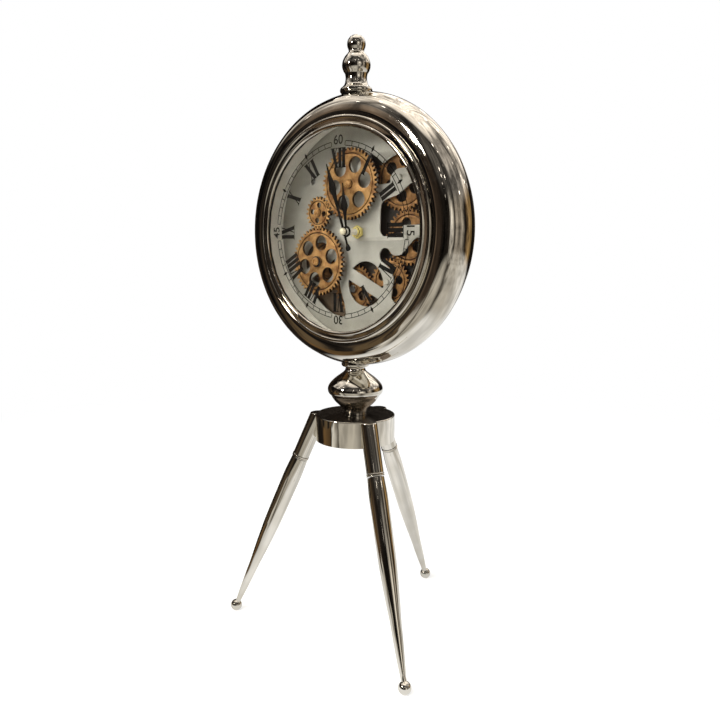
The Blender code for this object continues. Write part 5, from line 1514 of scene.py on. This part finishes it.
@dataclass
class Studio:
    """Camera, floor, lamps and surroundings."""

    eye: tuple[float, float, float] = (0.397255, -0.499596, 0.343698)
    turn: float = 40.18
    dip: float = 8.0588
    roll: float = 0.00314
    lens: float = 34.855
    shift: Point = (0.00633, -0.01175)
    floor_r: float = 6.0
    # Name, watts, size, place, target, and whether metal shows it in place of its lighting the scene
    lamps: tuple[tuple, ...] = (
        ("key", 60.0, 1.4, (-0.5, -1.5, 1.36), (0.0, 0.0, 0.33), False),
        ("fill", 22.0, 1.2, (0.3, -0.95, 1.6), (0.0, 0.0, 0.33), False),
        ("glint", 7.0, 0.22, (-0.55, -1.5, 1.0), (0.0, 0.0, 0.36), True),
    )
    # Name, the floor points of both ends, height, and the darkest, middle and lightest tone
    cards: tuple[tuple, ...] = (
        ("black_card", ((-1.0, -0.15), (-0.9, 1.8)), 1.5, ("#050505", "#120F0D", "#3A2F26")),
        ("brown_card", ((-0.886, -0.156), (-0.366, -0.822)), 0.62, ("#0B0A0A", "#302A25", "#64543F")),
    )
    # Azimuth from -X through -Y, +X and +Y back to -X
    walls: tuple[tuple[float, str], ...] = (
        (0.0, "#0B0A09"), (0.09, "#1B1612"), (0.14, "#8F7B69"), (0.18, "#3A3028"), (0.25, "#14110F"),
        (0.33, "#1A1714"), (0.39, "#2A2520"), (0.425, "#E8E2D8"), (0.455, "#DED6CA"), (0.48, "#1F1A16"),
        (0.51, "#2A2520"), (0.54, "#A89F93"), (0.58, "#2A231D"), (0.63, "#A88A60"), (0.68, "#94794F"),
        (0.71, "#15110E"), (0.78, "#1B1613"), (0.84, "#8E867C"), (0.90, "#0E0C0B"),
    )
    # What stands on the floor round the clock, by the same azimuth
    things: tuple[tuple[float, str], ...] = (
        (0.0, "#171411"), (0.06, "#2A241F"), (0.09, "#775C3C"), (0.145, "#5C4932"), (0.17, "#151210"),
        (0.185, "#F4F0E8"), (0.205, "#A8A298"), (0.225, "#4A453F"), (0.24, "#B9B4AA"), (0.36, "#C9C4BA"),
        (0.43, "#46413B"), (0.50, "#C4BFB6"), (0.70, "#FFFFFF"), (0.825, "#FFFFFF"), (0.86, "#3A3530"),
    )

    def build_camera(self) -> None:
        """Set the camera at the photograph's angle."""
        turn, dip = math.radians(self.turn), math.radians(self.dip)
        ahead = Vector((-math.sin(turn) * math.cos(dip), math.cos(turn) * math.cos(dip), -math.sin(dip)))
        right = Vector((math.cos(turn), math.sin(turn), 0.0))
        up = right.cross(ahead)
        side = right * math.cos(self.roll) + up * math.sin(self.roll)
        rise = up * math.cos(self.roll) - right * math.sin(self.roll)
        data = bpy.data.cameras.new("camera")
        data.sensor_width = 36.0
        data.lens = self.lens
        data.shift_x, data.shift_y = self.shift
        data.clip_start, data.clip_end = 0.02, 30.0
        camera = bpy.data.objects.new("camera", data)
        axes = Matrix((side, rise, -ahead)).transposed().to_4x4()
        camera.matrix_world = Matrix.Translation(self.eye) @ axes
        bpy.context.scene.collection.objects.link(camera)
        bpy.context.scene.camera = camera

    def build_floor(self) -> None:
        """Lay a white floor that keeps the shadow near the clock and fades into the background."""
        shape = bmesh.new()
        bmesh.ops.create_circle(shape, cap_ends=True, segments=96, radius=self.floor_r)
        made = bpy.data.materials.new("white_floor")
        tree = emptied(made)
        seen, shiny = sight(tree)
        smooth = {"interpolation_type": "SMOOTHSTEP"}
        spot = add(tree, "TexCoord").outputs["Object"]
        far = add(tree, "VectorMath", {"operation": "LENGTH"}, {0: spot}).outputs["Value"]
        # How much of the floor is plain white instead of lit paper
        fade = add(tree, "MapRange", {**smooth, "span": (0.25, 1.1, 0.6, 1.0)}, {"Value": far})
        bright = add(tree, "Math", {"operation": "MAXIMUM"}, {0: seen, 1: shiny})
        part = add(tree, "Math", {"operation": "MULTIPLY"}, {0: bright, 1: fade})
        share = add(tree, "Math", {"operation": "MAXIMUM"}, {0: part, 1: shiny})
        paper = add(tree, "BsdfDiffuse", {"Color": linear("#FAFAF8")})
        # What metal shows of it further out
        turned = azimuth(tree, add(tree, "SeparateXYZ", {}, {"Vector": spot}))[1]
        tiles = add(tree, "TexNoise", {"Scale": 4.0, "Detail": 2.0}, {"Vector": spot})
        wander = add(tree, "Math", {"operation": "MULTIPLY_ADD", 1: 0.10, 2: -0.05}, {0: tiles})
        place = add(tree, "Math", {"operation": "ADD"}, {0: turned, 1: wander})
        things = add(tree, "ValToRGB", {"stops": self.things}, {"Fac": place})
        near = add(tree, "MapRange", {**smooth, "span": (0.22, 0.34)}, {"Value": far})
        shown = add(tree, "Math", {"operation": "MULTIPLY"}, {0: near, 1: shiny})
        colour = add(tree, "Mix", {"data_type": "RGBA", 6: linear("#FFFFFF")}, {0: shown, 7: things})
        tile = add(tree, "MapRange", {"span": (0.38, 0.62, 0.70, 1.00)}, {"Value": tiles})
        # Seen by metal, the floor is a little dimmer near the clock: painted shadow of the clock
        under = add(tree, "MapRange", {"span": (0.12, 0.6, 0.95, 1.08)}, {"Value": far})
        dim = add(tree, "Math", {"operation": "MULTIPLY"}, {0: tile, 1: under})
        level = add(tree, "Mix", {"data_type": "FLOAT", 2: 1.0}, {0: shiny, 3: dim})
        white = add(tree, "Emission", {}, {"Color": colour.outputs[2], "Strength": level})
        both = add(tree, "MixShader", {}, {0: share, 1: paper, 2: white})
        away = add(tree, "MapRange", {**smooth, "span": (0.9, 1.9)}, {"Value": far})
        glossy = add(tree, "Math", {"operation": "MULTIPLY"}, {0: shiny, 1: away})
        whole = add(tree, "MixShader", {}, {0: glossy, 1: both, 2: add(tree, "BsdfTransparent")})
        add(tree, "OutputMaterial", {}, {"Surface": whole})
        solid(shape, made, "floor")

    def build_hall(self, tree: Tree, way: Feed, parts: bpy.types.Node) -> Feed:
        """What metal shows round the clock: walls below and a brighter hall with lamps above.

        Args:
            tree: The world's node tree.
            way: The direction looked in.
            parts: The node that splits the direction.

        Returns:
            The node that gives it.
        """
        smooth, up = {"interpolation_type": "SMOOTHSTEP"}, parts.outputs["Z"]
        angle, turned = azimuth(tree, parts)
        rough = {"Detail": 4.0, "Roughness": 0.7}
        streaks = add(tree, "TexNoise", {"noise_dimensions": "1D", "Scale": 5.0, **rough}, {"W": angle})
        wander = add(tree, "Math", {"operation": "MULTIPLY_ADD", 1: 0.09, 2: -0.045}, {0: streaks})
        place = add(tree, "Math", {"operation": "ADD"}, {0: turned, 1: wander})
        wall = add(tree, "ValToRGB", {"stops": self.walls}, {"Fac": place})
        shade = add(tree, "MapRange", {"span": (0.35, 0.65, 0.35, 1.5)}, {"Value": streaks})
        clouds = add(tree, "TexNoise", {"Scale": 3.2, "Detail": 4.0, "Roughness": 0.65}, {"Vector": way})
        cloud = add(tree, "MapRange", {"span": (0.38, 0.62, 0.25, 1.6)}, {"Value": clouds})
        light = add(tree, "Math", {"operation": "MULTIPLY"}, {0: shade, 1: cloud})
        room = add(tree, "Background", {}, {"Color": wall, "Strength": light})
        bulbs = add(tree, "TexVoronoi", {"Scale": 7.5}, {"Vector": way})
        lit = add(tree, "MapRange", {"span": (0.10, 0.19, 9.0, 0.0)}, {"Value": bulbs.outputs["Distance"]})
        picked = add(tree, "Math", {"operation": "GREATER_THAN", 1: 0.45}, {0: bulbs.outputs["Color"]})
        lamp = add(tree, "Math", {"operation": "MULTIPLY"}, {0: lit, 1: picked})
        behind = add(tree, "Math", {"operation": "MULTIPLY_ADD", 1: -0.6},
                     {0: parts.outputs["X"], 2: parts.outputs["Y"]})
        side = add(tree, "MapRange", {"span": (-0.5, 0.8, 0.12, 1.7)}, {"Value": behind})
        hall = add(tree, "Math", {"operation": "MULTIPLY_ADD"}, {0: light, 1: side, 2: lamp})
        crown = add(tree, "MapRange", {**smooth, "span": (0.86, 0.96, 0.0, 1.0)}, {"Value": up})
        ceiling = add(tree, "Math", {"operation": "ADD"}, {0: hall, 1: crown})
        over = add(tree, "Background", {"Color": linear("#E4DCD4")}, {"Strength": ceiling})
        high = add(tree, "MapRange", {**smooth, "span": (0.25, 0.5)}, {"Value": up})
        return add(tree, "MixShader", {}, {0: high, 1: room, 2: over})

    def build_world(self) -> None:
        """White to the camera, soft grey for light, and a warm dim hall for metal to show."""
        world = bpy.data.worlds.new("studio")
        tree = emptied(world)
        seen, shiny = sight(tree)
        way = add(tree, "TexCoord").outputs["Generated"]
        around = self.build_hall(tree, way, add(tree, "SeparateXYZ", {}, {"Vector": way}))
        soft = add(tree, "Background", {"Color": linear("#F6F3EE"), "Strength": 0.8})
        white = add(tree, "Background", {"Color": linear("#FFFFFF"), "Strength": 1.0})
        mirror = add(tree, "MixShader", {}, {0: shiny, 1: soft, 2: around})
        whole = add(tree, "MixShader", {}, {0: seen, 1: mirror, 2: white})
        add(tree, "OutputWorld", {}, {"Surface": whole})
        bpy.context.scene.world = world

    def build_card(self, name: str, ends: tuple[Point, Point], top: float, tones: Sequence[str]) -> None:
        """Stand a dark cloth card beside the clock, which only metal and glass show.

        Args:
            name: The card's name.
            ends: Where its two ends stand on the floor.
            top: Its height.
            tones: Its darkest, middle and lightest tone.
        """
        shape = bmesh.new()
        corners = ((ends[0], 0.0), (ends[1], 0.0), (ends[1], top), (ends[0], top))
        shape.faces.new([shape.verts.new((*end, height)) for end, height in corners])
        made = bpy.data.materials.new(name)
        tree = emptied(made)
        spot = add(tree, "TexCoord").outputs["Object"]
        upright = add(tree, "VectorMath", {"operation": "MULTIPLY", 1: (1.0, 1.0, 0.15)}, {0: spot})
        folds = add(tree, "TexNoise", {"Scale": 9.0, "Detail": 5.0}, {"Vector": upright})
        height = add(tree, "SeparateXYZ", {}, {"Vector": spot}).outputs["Z"]
        low = add(tree, "MapRange", {"span": (0.0, top, 0.10, -0.10)}, {"Value": height})
        depth = add(tree, "Math", {"operation": "ADD"}, {0: folds, 1: low})
        tone = add(tree, "ValToRGB", {"stops": tuple(zip((0.42, 0.54, 0.66), tones))}, {"Fac": depth})
        add(tree, "OutputMaterial", {}, {"Surface": add(tree, "Emission", {}, {"Color": tone})})
        card = solid(shape, made, name)
        card.visible_camera = False
        card.visible_diffuse = False
        card.visible_transmission = False
        card.visible_shadow = False

    def build_lamp(
        self, name: str, watts: float, size: float, place: Sequence[float], target: Sequence[float],
        shown: bool,
    ) -> None:
        """Hang one soft square lamp facing a point.

        Args:
            name: The lamp's name.
            watts: Its power.
            size: The length of its side.
            place: Where it hangs.
            target: The point that it faces.
            shown: Whether metal shows it in place of its lighting the scene.
        """
        data = bpy.data.lights.new(name, "AREA")
        data.energy = watts
        data.size = size
        data.color = linear("#FFFAF3")[:3]
        lamp = bpy.data.objects.new(name, data)
        lamp.location = place
        lamp.rotation_euler = (Vector(target) - Vector(place)).to_track_quat("-Z", "Y").to_euler()
        lamp.visible_glossy = shown
        lamp.visible_diffuse = not shown
        lamp.visible_transmission = False
        bpy.context.scene.collection.objects.link(lamp)

    def build(self) -> None:
        """Set up the studio."""
        self.build_camera()
        self.build_floor()
        self.build_world()
        for card in self.cards:
            self.build_card(*card)
        for lamp in self.lamps:
            self.build_lamp(*lamp)
        bpy.context.scene.view_settings.view_transform = "Standard"


def main() -> None:
    """Build the clock and its studio."""
    logging.basicConfig(level=logging.INFO, format="%(name)s %(message)s")
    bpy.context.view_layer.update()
    Studio().build()
    palette = Palette()
    Stand(palette.nickel, palette.cast_nickel).build()
    Case(palette).build()
    DialPrint(palette.ink).build()
    train = GearWork(palette).build()
    Plates(palette).build(train)
    Hands(palette).build()
    CarriedNodes(palette).build()


if __name__ == "__main__":
    main()
